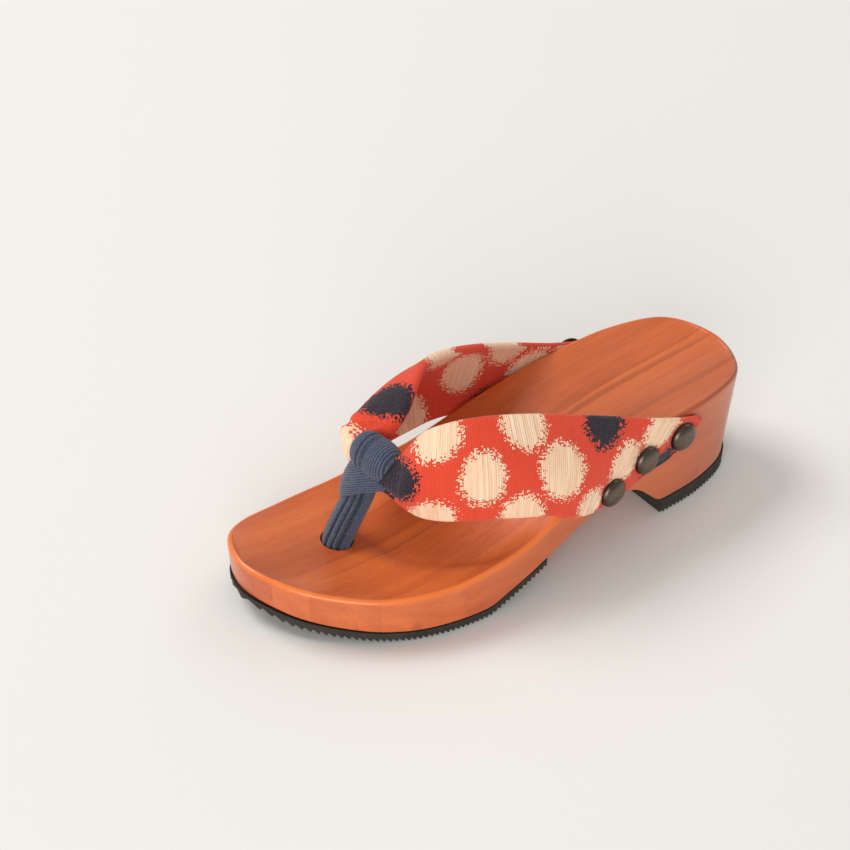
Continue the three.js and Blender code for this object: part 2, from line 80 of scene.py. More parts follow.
@dataclass(frozen=True)
class ColumnCurve:
    """A smooth function through a column of a table, which never overshoots its rows."""

    at: tuple[float, ...]
    value: tuple[float, ...]

    def __call__(self, where: Array) -> Array:
        """Looks the column up.

        Args:
            where: places between the first and the last row.

        Returns:
            The column's value at each place.
        """
        knots, value = np.array(self.at), np.array(self.value)
        slope = np.diff(value) / np.diff(knots)
        tangent = np.empty_like(value)
        tangent[0], tangent[-1] = slope[0], slope[-1]
        before, after = slope[:-1], slope[1:]
        total = np.where(before + after == 0.0, 1.0, before + after)
        tangent[1:-1] = np.where(before * after <= 0.0, 0.0, 2.0 * before * after / total)
        i = np.clip(np.searchsorted(knots, where, side="right") - 1, 0, len(knots) - 2)
        span = knots[i + 1] - knots[i]
        t = np.clip((where - knots[i]) / span, 0.0, 1.0)
        s = 1.0 - t
        ends = value[i] * s * s * (1 + 2 * t) + value[i + 1] * t * t * (1 + 2 * s)
        return ends + span * t * s * (tangent[i] * s - tangent[i + 1] * t)


def through_points(points: Sequence[Sequence[float]], share: Array, closed: bool) -> Array:
    """A centripetal Catmull-Rom curve, the one that the solids are made with.

    Args:
        points: the points that it passes.
        share: places along it, from 0 to 1.
        closed: whether it comes back to its first point.

    Returns:
        One point per place.
    """
    knots = np.asarray(points, float)
    count = len(knots)
    place = (count if closed else count - 1) * np.asarray(share, float)
    i = np.floor(place).astype(int)
    if not closed:
        i = np.minimum(i, count - 2)
    w = (place - i)[:, None]

    def knot(k: Array) -> Array:
        """The knot at an index, mirrored past an open end."""
        if closed:
            return knots[k % count]
        found = knots[np.clip(k, 0, count - 1)].copy()
        found[k < 0] = 2 * knots[0] - knots[1]
        found[k > count - 1] = 2 * knots[-1] - knots[-2]
        return found

    p0, p1, p2, p3 = knot(i - 1), knot(i), knot(i + 1), knot(i + 2)
    gaps = [np.sum((b - a) ** 2, axis=1) ** 0.25 for a, b in ((p0, p1), (p1, p2), (p2, p3))]
    middle = np.where(gaps[1] < 1e-4, 1.0, gaps[1])
    first = np.where(gaps[0] < 1e-4, middle, gaps[0])[:, None]
    last = np.where(gaps[2] < 1e-4, middle, gaps[2])[:, None]
    middle = middle[:, None]
    out = ((p1 - p0) / first - (p2 - p0) / (first + middle) + (p2 - p1) / middle) * middle
    into = ((p2 - p1) / middle - (p3 - p1) / (middle + last) + (p3 - p2) / last) * middle
    square = -3 * p1 + 3 * p2 - 2 * out - into
    cube = 2 * p1 - 2 * p2 + out + into
    return p1 + out * w + square * w * w + cube * w**3


def length_along(points: Array) -> Array:
    """The distance walked along a row of points, from its first one."""
    steps = np.linalg.norm(np.diff(points, axis=0), axis=1)
    return np.concatenate([[0.0], np.cumsum(steps)])


# ------------------------------------------------------------------ meshes


def deselect() -> None:
    """Leaves nothing selected, in object mode."""
    if bpy.context.object is not None and bpy.context.object.mode != "OBJECT":
        bpy.ops.object.mode_set(mode="OBJECT")
    bpy.ops.object.select_all(action="DESELECT")


def choose(piece: bpy.types.Object) -> None:
    """Makes a piece the only selected and the active one."""
    deselect()
    piece.select_set(True)
    bpy.context.view_layer.objects.active = piece


def close_up(piece: bpy.types.Object, reach: float = 2e-6) -> None:
    """Merges a piece's doubled vertices and turns its faces outwards.

    Args:
        piece: the mesh to close.
        reach: how far apart two doubled vertices may lie, in metres.
    """
    choose(piece)
    bpy.ops.object.mode_set(mode="EDIT")
    bpy.ops.mesh.select_all(action="SELECT")
    bpy.ops.mesh.remove_doubles(threshold=reach)
    bpy.ops.mesh.normals_make_consistent(inside=False)
    bpy.ops.object.mode_set(mode="OBJECT")


def sheet_of(
    name: str, places: Array, cloth: Array | None = None, fields: dict[str, Array] | None = None
) -> bpy.types.Object:
    """A grid whose vertices are laid on a worked-out surface.

    Args:
        name: the piece's name.
        places: rows by columns by 3 points, in metres.
        cloth: rows by columns by 2, the surface's own measures in metres, for its UV map.
        fields: values to keep on the vertices, each rows by columns.

    Returns:
        The grid as an object at the origin.
    """
    rows, columns = places.shape[:2]
    deselect()
    bpy.ops.mesh.primitive_grid_add(
        x_subdivisions=columns - 1, y_subdivisions=rows - 1, size=1.0, calc_uvs=True
    )
    piece = bpy.context.object
    piece.name = piece.data.name = name
    mesh = piece.data
    mesh.vertices.foreach_set("co", places.reshape(-1).astype(np.float32))
    corner = np.zeros(len(mesh.loops), np.int32)
    mesh.loops.foreach_get("vertex_index", corner)
    flat = (places[..., :2] if cloth is None else cloth).reshape(-1, 2)
    mesh.uv_layers[0].name = "cloth"
    mesh.uv_layers[0].data.foreach_set("uv", flat[corner].reshape(-1).astype(np.float32))
    for key, values in (fields or {}).items():
        attribute = mesh.attributes.new(key, "FLOAT", "POINT")
        attribute.data.foreach_set("value", values.reshape(-1).astype(np.float32))
    mesh.update()
    return piece


def join(name: str, pieces: Sequence[bpy.types.Object]) -> bpy.types.Object:
    """Joins meshes into the first of them and closes their shared edges.

    Args:
        name: the joined piece's name.
        pieces: the meshes, which meet along doubled vertices.

    Returns:
        The joined piece.
    """
    deselect()
    for piece in pieces:
        piece.select_set(True)
    bpy.context.view_layer.objects.active = pieces[0]
    bpy.ops.object.join()
    joined = bpy.context.object
    joined.name = joined.data.name = name
    close_up(joined)
    return joined


def rim_of(grid: Array) -> Array:
    """The closed border of a grid of points, starting and ending at its first corner."""
    return np.concatenate([grid[:-1, -1], grid[-1, ::-1], grid[-2:0:-1, 0], grid[0]])


def slab_of(name: str, top: Array, bottom: Array) -> bpy.types.Object:
    """A closed slab between two grids with the same rows and columns."""
    wall = np.stack([rim_of(top), rim_of(bottom)])
    sheets = [sheet_of(f"{name}_{i}", part) for i, part in enumerate((top, bottom, wall))]
    return join(name, sheets)


def with_ends(grid: Array) -> Array:
    """A grid with its first and last rows doubled, for a sheet whose ends are closed."""
    return np.concatenate([grid[:1], grid, grid[-1:]])


def drawn_in(points: Array) -> Array:
    """Rings of points closed at both ends by a row drawn together in the ring's middle."""
    closed = with_ends(points)
    closed[[0, -1]] = points[[0, -1]].mean(axis=1, keepdims=True)
    return closed


def bell(distance: Array, reach: float) -> Array:
    """Falls from 1 at no distance towards 0 a few reaches away."""
    return np.exp(-((distance / reach) ** 2))


def smooth(piece: bpy.types.Object, angle: float = 40.0) -> None:
    """Shades a piece smooth but for edges sharper than an angle in degrees."""
    choose(piece)
    bpy.ops.object.shade_smooth_by_angle(angle=math.radians(angle))


def apply_modifier(piece: bpy.types.Object, kind: str, **settings: object) -> None:
    """Adds a modifier to a piece, sets it and applies it.

    Args:
        piece: the mesh.
        kind: the modifier's type.
        **settings: its properties.
    """
    choose(piece)
    modifier = piece.modifiers.new(kind.lower(), kind)
    for key, value in settings.items():
        setattr(modifier, key, value)
    bpy.ops.object.modifier_apply(modifier=modifier.name)


def hand_over(
    piece: bpy.types.Object, finish: bpy.types.Material, slot: str, *nodes: str
) -> bpy.types.Object:
    """Dresses a finished piece, hangs it under the root and hides the solids that it replaces.

    Args:
        piece: the piece.
        finish: its material.
        slot: not used.
        *nodes: the solids that it replaces.

    Returns:
        The same piece.
    """
    piece.data.materials.clear()
    piece.data.materials.append(finish)
    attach(piece, "root")
    if nodes:
        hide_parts(*nodes)
    LOG.info("%s: %d faces", piece.name, len(piece.data.polygons))
    return piece


# ------------------------------------------------------------------ the last


PLAN_ROWS = (  # share of the length, medial edge, lateral edge
    (0.026, -32.8, 6.0),
    (0.066, -39.8, 19.4),
    (0.155, -42.6, 37.3),
    (0.275, -41.4, 48.0),
    (0.424, -36.5, 49.8),
    (0.583, -31.7, 45.4),
    (0.732, -27.6, 43.1),
    (0.861, -24.0, 41.9),
    (0.950, -16.6, 35.6),
    (0.982, -7.6, 26.4),
)
PLAN_TOE_X, PLAN_HEEL_X = -14.0, 10.0

RIM_ROWS = (  # share of the length, rim height, depth of the dish, inward lean of the wall
    (0.0, 28.0, 1.6, 1.2),
    (0.086, 24.9, 2.0, 1.1),
    (0.175, 23.4, 2.8, 0.9),
    (0.255, 23.8, 3.2, 0.6),
    (0.334, 26.2, 3.2, 0.6),
    (0.424, 29.8, 2.8, 0.6),
    (0.503, 36.0, 2.6, 0.6),
    (0.583, 42.6, 2.6, 0.7),
    (0.672, 48.4, 2.8, 0.9),
    (0.752, 51.8, 3.0, 1.3),
    (0.831, 53.5, 3.0, 1.9),
    (0.92, 54.3, 2.3, 3.0),
    (1.0, 54.6, 0.5, 4.5),
)

UNDERSIDE_ROWS = (  # share of the length, height of the wood, thickness of the rubber
    (0.0, 13.2, 3.4),
    (0.046, 9.9, 4.9),
    (0.096, 7.6, 4.9),
    (0.155, 5.8, 4.9),
    (0.215, 4.9, 4.9),
    (0.334, 4.9, 4.9),
    (0.384, 8.6, 4.9),
    (0.463, 15.2, 4.6),
    (0.533, 20.0, 4.6),
    (0.602, 24.2, 4.6),
    (0.637, 25.4, 4.6),
    (0.672, 24.6, 4.6),
    (0.702, 21.2, 4.6),
    (0.732, 14.6, 4.6),
    (0.757, 8.8, 4.6),
    (0.767, 8.0, 8.0),
    (1.0, 8.0, 8.0),
)


def column(rows: Sequence[Sequence[float]], index: int) -> ColumnCurve:
    """One column of a table as a curve over its first column."""
    return ColumnCurve(tuple(row[0] for row in rows), tuple(row[index] for row in rows))


@dataclass
class Last:
    """The sandal's plan and heights, and the way from the tables' frame to the part's."""

    toe_y: float = -121.5
    length: float = 241.5
    fine_points: int = 1200
    rim: ColumnCurve = column(RIM_ROWS, 1)
    dish: ColumnCurve = column(RIM_ROWS, 2)
    lean: ColumnCurve = column(RIM_ROWS, 3)
    under: ColumnCurve = column(UNDERSIDE_ROWS, 1)
    rubber: ColumnCurve = column(UNDERSIDE_ROWS, 2)
    lateral: Array = field(init=False)
    medial: Array = field(init=False)
    shift: Array = field(init=False)

    def __post_init__(self) -> None:
        """Works out the two edges of the plan and the shift between the frames."""
        along = [self.toe_y + row[0] * self.length for row in PLAN_ROWS]
        heel_y = self.toe_y + self.length
        knots = [(PLAN_TOE_X, self.toe_y)]
        knots += [(row[2], y) for row, y in zip(PLAN_ROWS, along)]
        knots += [(PLAN_HEEL_X, heel_y)]
        knots += [(row[1], y) for row, y in zip(PLAN_ROWS[::-1], along[::-1])]
        share = np.arange(self.fine_points) / self.fine_points
        loop = through_points(knots, share, closed=True)
        loop = np.roll(loop, -int(np.argmin(loop[:, 1])), axis=0)
        heel = int(np.argmax(loop[:, 1]))
        self.lateral = loop[: heel + 1]
        self.medial = np.concatenate([loop[:1], loop[heel:][::-1]])
        low = np.array([self.medial[:, 0].min(), loop[0, 1], 0.0])
        self.shift = np.array(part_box("base")[0]) / MM * (1, 1, 0) - low

    def share(self, y: Array) -> Array:
        """How far along the length a place lies, from 0 at the toe to 1 at the heel."""
        return (np.asarray(y, float) - self.toe_y) / self.length

    def edge(self, y: Array, side: int) -> Array:
        """The plan's x at a place along the foot, on the lateral (1) or medial (-1) side."""
        line = self.lateral if side > 0 else self.medial
        return np.interp(y, line[:, 1], line[:, 0])

    def wall(self, y: Array, z: Array, side: int) -> Array:
        """The wooden wall's x at a place and height, leaning inwards to the floor."""
        at = self.share(y)
        top, bottom = self.rim(at), self.under(at)
        down = np.clip((top - z) / np.maximum(top - bottom, 1.0), 0.0, 1.0)
        return self.edge(y, side) - side * self.lean(at) * down

    def outline(self, stations: int) -> tuple[Array, Array]:
        """The closed plan with stations set close together at toe and heel.

        Args:
            stations: steps from toe to heel on each side.

        Returns:
            The points, counter-clockwise from the toe with the lateral side first, and
            their outward directions.
        """
        turn = (1 - np.cos(np.pi * np.arange(stations + 1) / stations)) / 2
        y = self.lateral[0, 1] + (self.lateral[-1, 1] - self.lateral[0, 1]) * turn
        lateral = np.column_stack([self.edge(y, 1), y])
        medial = np.column_stack([self.edge(y, -1), y])[-2:0:-1]
        loop = np.concatenate([lateral, medial])
        ahead = np.roll(loop, -1, axis=0) - np.roll(loop, 1, axis=0)
        outward = np.column_stack([ahead[:, 1], -ahead[:, 0]])
        return loop, outward / np.linalg.norm(outward, axis=1)[:, None]

    def metres(self, points: Array) -> Array:
        """Carries points from the tables' frame in millimetres to the part's in metres."""
        return (points + self.shift) * MM


# ------------------------------------------------------------------ finishes


@dataclass(frozen=True)
class Grain:
    """A stretched noise: pattern units to a metre along each axis, octaves, roughness."""

    scale: Point
    detail: float = 3.0
    rough: float = 0.55


class Nodes:
    """A material's node tree, written a node at a time."""

    def __init__(self, name: str) -> None:
        """Starts a material with a plain surface shader.

        Args:
            name: the material's name.
        """
        self.material = bpy.data.materials.new(name)
        self.material.use_nodes = True
        self.tree = self.material.node_tree
        self.shader = self.tree.nodes["Principled BSDF"]

    def add(self, kind: str, inputs: dict[str | int, object] | None = None, **settings: object):
        """Adds a node.

        Args:
            kind: the node's type without its ShaderNode prefix.
            inputs: values or sockets for its inputs, by name or index.
            **settings: its properties.

        Returns:
            The node.
        """
        node = self.tree.nodes.new(f"ShaderNode{kind}")
        for key, value in settings.items():
            setattr(node, key, value)
        for key, value in (inputs or {}).items():
            self.feed(node.inputs[key], value)
        return node

    def feed(self, socket: bpy.types.NodeSocket, value: object) -> None:
        """Links a socket to an input, or sets the input's value."""
        if isinstance(value, bpy.types.NodeSocket):
            self.tree.links.new(value, socket)
        else:
            socket.default_value = value

    def place(self, scale: Point = (1, 1, 1), shift: object = (0, 0, 0), cloth: bool = False):
        """Coordinates for a pattern: the piece's own, or its cloth's measures in metres.

        Args:
            scale: how many pattern units a metre holds along each axis.
            shift: where the pattern starts, a value or a socket.
            cloth: whether to follow the surface's UV map.

        Returns:
            The coordinate socket.
        """
        if cloth:
            start = self.add("UVMap", uv_map="cloth").outputs["UV"]
        else:
            start = self.add("TexCoord").outputs["Object"]
        moved = self.add("Mapping", {"Vector": start, "Scale": scale, "Location": shift})
        return moved.outputs["Vector"]

    def noise(self, where: object, scale: float, detail: float = 3.0, rough: float = 0.55):
        """Cloudy noise from 0 to 1 at some coordinates."""
        inputs = {"Vector": where, "Scale": scale, "Detail": detail, "Roughness": rough}
        return self.add("TexNoise", inputs).outputs["Fac"]

    def grain(self, grain: Grain, shift: object = (0, 0, 0), cloth: bool = False):
        """A grain's noise from 0 to 1, in the piece's own place or along its cloth."""
        where = self.place(grain.scale, shift, cloth)
        return self.noise(where, 1.0, grain.detail, grain.rough)

    def sum(self, operation: str, first: object, second: object = 0.0, third: object = 0.0):
        """A sum on numbers, by the operation's name."""
        node = self.add("Math", {0: first, 1: second, 2: third}, operation=operation)
        return node.outputs[0]

    def weigh(self, *weights: tuple[object, float], base: float = 0.0):
        """Adds values up by their weights, starting from a base."""
        total = base
        for value, weight in weights:
            total = self.sum("MULTIPLY_ADD", value, weight, total)
        return total

    def field(self, name: str):
        """A value that the mesh keeps on its vertices."""
        return self.add("Attribute", attribute_name=name).outputs["Fac"]

    def ramp(self, value: object, *stops: tuple[float, float]):
        """A number drawn through stops of (place, height) with straight lines between."""
        node = self.add("ValToRGB", {"Fac": value})
        self._stops(node.color_ramp, [(at, (h, h, h)) for at, h in stops])
        return node.outputs["Color"]

    def tint(self, value: object, *stops: tuple[float, Point], steps: bool = False):
        """A colour drawn through stops of (place, colour), blended or in steps."""
        node = self.add("ValToRGB", {"Fac": value})
        node.color_ramp.interpolation = "CONSTANT" if steps else "LINEAR"
        self._stops(node.color_ramp, stops)
        return node.outputs["Color"]

    @staticmethod
    def _stops(ramp: bpy.types.ColorRamp, stops: Sequence[tuple[float, Point]]) -> None:
        """Sets a ramp's stops."""
        while len(ramp.elements) < len(stops):
            ramp.elements.new(1.0)
        for element, (at, colour) in zip(ramp.elements, stops):
            element.position = at
            element.color = (*colour, 1.0)

    def mix(self, share: object, first: object, second: object):
        """Blends two colours by a share."""
        node = self.add("Mix", data_type="RGBA", blend_type="MIX")
        self.feed(node.inputs[0], share)
        for index, value in ((6, first), (7, second)):
            colour = (*value, 1.0) if isinstance(value, tuple) else value
            self.feed(node.inputs[index], colour)
        return node.outputs[2]

    def bump(self, height: object, depth: float, strength: float = 1.0, over: object = None):
        """A bump of a height map.

        Args:
            height: the height from 0 to 1.
            depth: how deep a height of 1 is, in metres.
            strength: the bump's share.
            over: a bump to lie on.

        Returns:
            The normal socket.
        """
        node = self.add("Bump", {"Height": height, "Distance": depth, "Strength": strength})
        if over is not None:
            self.feed(node.inputs["Normal"], over)
        return node.outputs["Normal"]

    def finish(self, colour: object, rough: object, normal: object, **constants: object):
        """Sets the surface shader and hands the material back.

        Args:
            colour: base colour.
            rough: roughness.
            normal: the bump.
            **constants: plain values for the shader's other sockets, spaces as underscores.

        Returns:
            The material.
        """
        self.feed(self.shader.inputs["Base Color"], colour)
        self.feed(self.shader.inputs["Roughness"], rough)
        self.feed(self.shader.inputs["Normal"], normal)
        for key, value in constants.items():
            self.shader.inputs[key.replace("_", " ")].default_value = value
        return self.material


@dataclass(frozen=True)
class LacqueredWood:
    """Strip-glued wood under a warm satin lacquer."""

    dark: Point = (0.25, 0.042, 0.010)
    body: Point = (0.58, 0.114, 0.023)
    light: Point = (0.84, 0.215, 0.052)
    # painted highlight: a bright orange line along the rounded rim
    pore: Point = (0.16, 0.035, 0.012)
    # painted shade: the rim's edge on the outer heel, turned away from the light
    painted_rim_highlight: Point = (0.92, 0.210, 0.026)
    painted_rim_shade: Point = (0.27, 0.050, 0.012)
    # painted sheen: the outer heel's wood turned a duller pink-brown
    painted_heel_sheen: Point = (0.46, 0.125, 0.062)
    strip_edges: tuple[float, ...] = (-0.0400, -0.0220, -0.0031, 0.0116, 0.0309, 0.0430)
    strip_tones: tuple[float, ...] = (0.46, 0.60, 0.40, 0.62, 0.48, 0.58, 0.50)
    strip_span: float = 0.12  # metres of width that the strips' ramp covers
    strip_wander: float = 0.006
    strip_jump: float = 37.0  # how far the grain starts afresh from strip to strip
    figure: Grain = Grain((38, 4.5, 30), 4.0, 0.6)
    fibres: Grain = Grain((900, 22, 700), 5.0, 0.62)
    streaks: Grain = Grain((170, 5, 150), 3.0, 0.5)
    late_wood: Grain = Grain((260, 3.2, 40), 2.0)
    pores: Grain = Grain((2300, 170, 2300), 2.0, 0.5)
    lacquer_ripple: float = 260.0

    def _strips(self, n: Nodes, x: object) -> object:
        """The tone of the glued strip at a place across the foot, edges wandering a little."""
        wander = n.grain(Grain((6, 3, 6), 1.0))
        across = n.sum("MULTIPLY_ADD", n.sum("SUBTRACT", wander, 0.5), self.strip_wander, x)
        across = n.weigh((across, 1 / self.strip_span), base=0.5)
        edges = (0.0, *(edge / self.strip_span + 0.5 for edge in self.strip_edges))
        tones = [(at, (tone,) * 3) for at, tone in zip(edges, self.strip_tones)]
        return n.tint(across, *tones, steps=True)

    def build(self) -> bpy.types.Material:
        """Writes the node tree.

        Returns:
            The material.
        """
        n = Nodes("lacquered_wood")
        place = n.add("SeparateXYZ", {"Vector": n.place()}).outputs
        x, y = place["X"], place["Y"]
        strip = self._strips(n, x)
        jump = n.sum("MULTIPLY", strip, self.strip_jump)
        offset = n.add("CombineXYZ", {"X": jump, "Y": strip, "Z": strip}).outputs["Vector"]
        fibres = n.grain(self.fibres, offset)
        figure, streaks = n.grain(self.figure, offset), n.grain(self.streaks, offset)
        tone = n.weigh((fibres, 0.20), (figure, 0.50), (streaks, 0.22), (strip, 0.46), base=-0.18)
        colour = n.tint(tone, (0.18, self.dark), (0.50, self.body), (0.82, self.light))
        lines = n.ramp(n.grain(self.late_wood, offset), (0.60, 0.0), (0.72, 1.0))
        colour = n.mix(n.sum("MULTIPLY", lines, 0.42), colour, self.dark)
        pores = n.ramp(n.grain(self.pores), (0.66, 0.0), (0.74, 1.0))
        colour = n.mix(n.sum("MULTIPLY", pores, 0.38), colour, self.pore)
        # mask of the outer heel, which carries the painted sheen and the painted rim shade
        heelward = n.ramp(n.weigh((y, 5.0), base=0.5), (0.45, 0.0), (0.85, 1.0))
        outward = n.ramp(n.weigh((x, 10.0), base=0.5), (0.50, 0.0), (0.66, 1.0))
        outer_heel_painted_light = n.sum("MULTIPLY", heelward, outward)
        # painted sheen on the outer heel
        colour = n.mix(n.sum("MULTIPLY", outer_heel_painted_light, 0.34), colour, self.painted_heel_sheen)
        # painted highlight along the rounded rim, turned to painted shade on the outer heel; the
        # rim field lays it on
        edge = n.mix(outer_heel_painted_light, self.painted_rim_highlight, self.painted_rim_shade)
        colour = n.mix(n.sum("MULTIPLY", n.field("rim"), 0.62), colour, edge)
        rough = n.weigh((fibres, 0.14), base=0.30)
        bump = n.bump(n.noise(n.place(), self.lacquer_ripple, 2.0), 0.00012, 0.5)
        bump = n.bump(fibres, 0.00010, 0.45, bump)
        return n.finish(
            colour, rough, bump, Coat_Weight=0.35, Coat_Roughness=0.20, Specular_IOR_Level=0.5
        )


@dataclass(frozen=True)
class TreadRubber:
    """Matt black moulded rubber with a little floor dust."""

    dark: Point = (0.014, 0.012, 0.010)
    worn: Point = (0.046, 0.041, 0.034)

    def build(self) -> bpy.types.Material:
        """Writes the node tree and returns the material."""
        n = Nodes("tread_rubber")
        speckle = n.noise(n.place(), 900.0, 4.0, 0.65)
        cloud = n.noise(n.place(), 70.0, 3.0)
        tone = n.weigh((speckle, 0.5), (cloud, 0.6))
        colour = n.tint(tone, (0.35, self.dark), (0.75, self.worn))
        rough = n.weigh((speckle, 0.2), base=0.62)
        return n.finish(colour, rough, n.bump(speckle, 0.00012, 0.7), Specular_IOR_Level=0.35)


@dataclass(frozen=True)
class PrintedCotton:
    """Slub cotton with cream and navy spots whose edges break up thread by thread."""

    red: Point = (0.84, 0.086, 0.036)
    red_deep: Point = (0.68, 0.052, 0.025)
    cream: Point = (0.86, 0.50, 0.31)
    cream_light: Point = (0.96, 0.71, 0.51)
    navy: Point = (0.024, 0.017, 0.025)
    navy_light: Point = (0.080, 0.068, 0.095)
    thread: float = 0.00072
    thread_pick: float = 0.8  # a thread's length against its width, where the print breaks up
    scatter: Point = (911.0, 1173.0, 1.0)  # spreads neighbouring threads over the white noise
    fringe: float = 4.8  # millimetres by which single threads shift a spot's edge
    blur: float = 3.0  # millimetres by which groups of threads shift it
    edge_gain: float = -2.5
    rib_scale: float = 330.0
    slub: Grain = Grain((1000, 40, 1), 3.0, 0.6)
    thick_yarn: Grain = Grain((520, 13, 1), 2.0)
    weft: Grain = Grain((260, 1900, 1), 2.0)
    flecks: Grain = Grain((1500, 1500, 1), 2.0)

    def _threads(self, n: Nodes) -> tuple[object, object]:
        """How far single threads and groups of threads stray, each from 0 to 1."""
        snap = n.add("VectorMath", {0: n.place(cloth=True)}, operation="SNAP")
        n.feed(snap.inputs[1], (self.thread, self.thread * self.thread_pick, 1.0))
        thread = snap.outputs[0]
        cells = n.add("VectorMath", {0: thread, 1: self.scatter}, operation="MULTIPLY")
        single = n.add("TexWhiteNoise", {"Vector": cells.outputs[0]}, noise_dimensions="2D")
        return single.outputs["Value"], n.noise(thread, 620.0, 1.0)

    def _spot(self, n: Nodes, key: str, ragged: object, loose: object) -> object:
        """The share of a spot's colour from its charted distance in millimetres."""
        shaken = n.field(key)
        for stray, reach in ((ragged, self.fringe), (loose, self.blur)):
            shaken = n.sum("MULTIPLY_ADD", n.sum("SUBTRACT", stray, 0.5), reach, shaken)
        return n.ramp(n.weigh((shaken, self.edge_gain), base=0.5), (0.0, 0.0), (1.0, 1.0))

    def build(self) -> bpy.types.Material:
        """Writes the node tree.

        Returns:
            The material.
        """
        n = Nodes("printed_cotton")
        ragged, loose = self._threads(n)
        cream, navy = (self._spot(n, spot.value, ragged, loose) for spot in Spot)
        wave = {"Vector": n.place((1, 0.04, 1), cloth=True), "Scale": self.rib_scale}
        wave |= {"Distortion": 1.2, "Detail Scale": 1.5}
        rib = n.add("TexWave", wave).outputs["Fac"]
        slub = n.grain(self.slub, cloth=True)
        thick = n.ramp(n.grain(self.thick_yarn, cloth=True), (0.50, 0.0), (0.64, 1.0))
        weft = n.grain(self.weft, cloth=True)
        cloud = n.ramp(n.noise(n.place(), 60.0, 2.0), (0.35, 0.0), (0.75, 0.35))
        red = n.mix(n.weigh((slub, 0.65), (rib, 0.35)), self.red_deep, self.red)
        red = n.mix(cloud, red, self.red_deep)
        slubby = n.sum("MAXIMUM", thick, n.ramp(slub, (0.32, 0.0), (0.62, 1.0)))
        light = n.mix(slubby, self.cream, self.cream_light)
        flecks = n.ramp(n.grain(self.flecks, cloth=True), (0.56, 0.0), (0.72, 1.0))
        night = n.mix(flecks, self.navy, self.navy_light)
        colour = n.mix(navy, n.mix(cream, red, light), night)
        raised = n.sum("MULTIPLY", thick, cream)
        printed = n.sum("MAXIMUM", cream, navy)
        height = n.weigh((slub, 0.6), (rib, 0.45), (weft, 0.35), (raised, 0.62), (printed, 0.30))
        bump = n.bump(height, 0.00042, 0.9)
        return n.finish(
            colour, 0.88, bump, Sheen_Weight=0.15, Sheen_Roughness=0.5, Specular_IOR_Level=0.25
        )


@dataclass(frozen=True)
class NavyTwill:
    """Ribbed navy cord cloth, lighter on its rib crests and darker in the valleys, seams and folds:
    painted highlight and painted shade.
    """

    valley: Point = (0.014, 0.018, 0.034)
    body: Point = (0.050, 0.066, 0.116)
    crest: Point = (0.18, 0.212, 0.30)
    fleck: Point = (0.25, 0.28, 0.34)
    weave: Grain = Grain((1300, 620, 1), 3.0, 0.65)

    def build(self) -> bpy.types.Material:
        """Writes the node tree and returns the material."""
        n = Nodes("navy_twill")
        rib = n.field("rib")
        weave = n.grain(self.weave, cloth=True)
        wave = {"Vector": n.place(cloth=True), "Scale": 760.0, "Distortion": 3.0}
        wave["Detail Scale"] = 2.0
        twill = n.add("TexWave", wave, wave_type="BANDS", bands_direction="DIAGONAL").outputs["Fac"]
        flecks = n.ramp(n.noise(n.place(), 1500.0, 2.0, 0.7), (0.58, 0.0), (0.74, 1.0))
        # painted highlight and shade: the rib field lightens the crests and darkens the valleys,
        # seams and folds
        tone = n.weigh((weave, 0.42), (rib, 0.34), (twill, 0.16))
        colour = n.tint(tone, (0.22, self.valley), (0.48, self.body), (0.92, self.crest))
        colour = n.mix(n.sum("MULTIPLY", flecks, 0.55), colour, self.fleck)
        bump = n.bump(n.weigh((twill, 0.5), (weave, 0.8)), 0.00019, 0.85)
        return n.finish(
            colour, 0.86, bump, Sheen_Weight=0.25, Sheen_Roughness=0.5, Specular_IOR_Level=0.25
        )


@dataclass(frozen=True)
class AntiqueTackMetal:
    """Antiqued bronze: dark in the hollows, rubbed bright on the dome."""

    dark: Point = (0.030, 0.021, 0.015)
    rubbed: Point = (0.175, 0.137, 0.108)

    def build(self) -> bpy.types.Material:
        """Writes the node tree and returns the material."""
        n = Nodes("antique_tack_metal")
        patina = n.noise(n.place(), 420.0, 4.0, 0.6)
        tone = n.weigh((patina, 0.6), (n.field("crown"), 0.55))
        colour = n.tint(tone, (0.20, self.dark), (0.85, self.rubbed))
        rough = n.weigh((patina, 0.22), base=0.20)
        bump = n.bump(patina, 0.00006, 0.4)
        return n.finish(colour, rough, bump, Metallic=1.0)


@dataclass(frozen=True)
class PaleFloor:
    """The studio's plain pale floor."""

    colour: Point = (0.82, 0.815, 0.80)

    def build(self) -> bpy.types.Material:
        """Writes the node tree and returns the material."""
        n = Nodes("pale_floor")
        return n.finish((*self.colour, 1.0), 0.9, n.bump(n.noise(n.place(), 60.0), 0.0001, 0.1))


# ------------------------------------------------------------------ wood and rubber


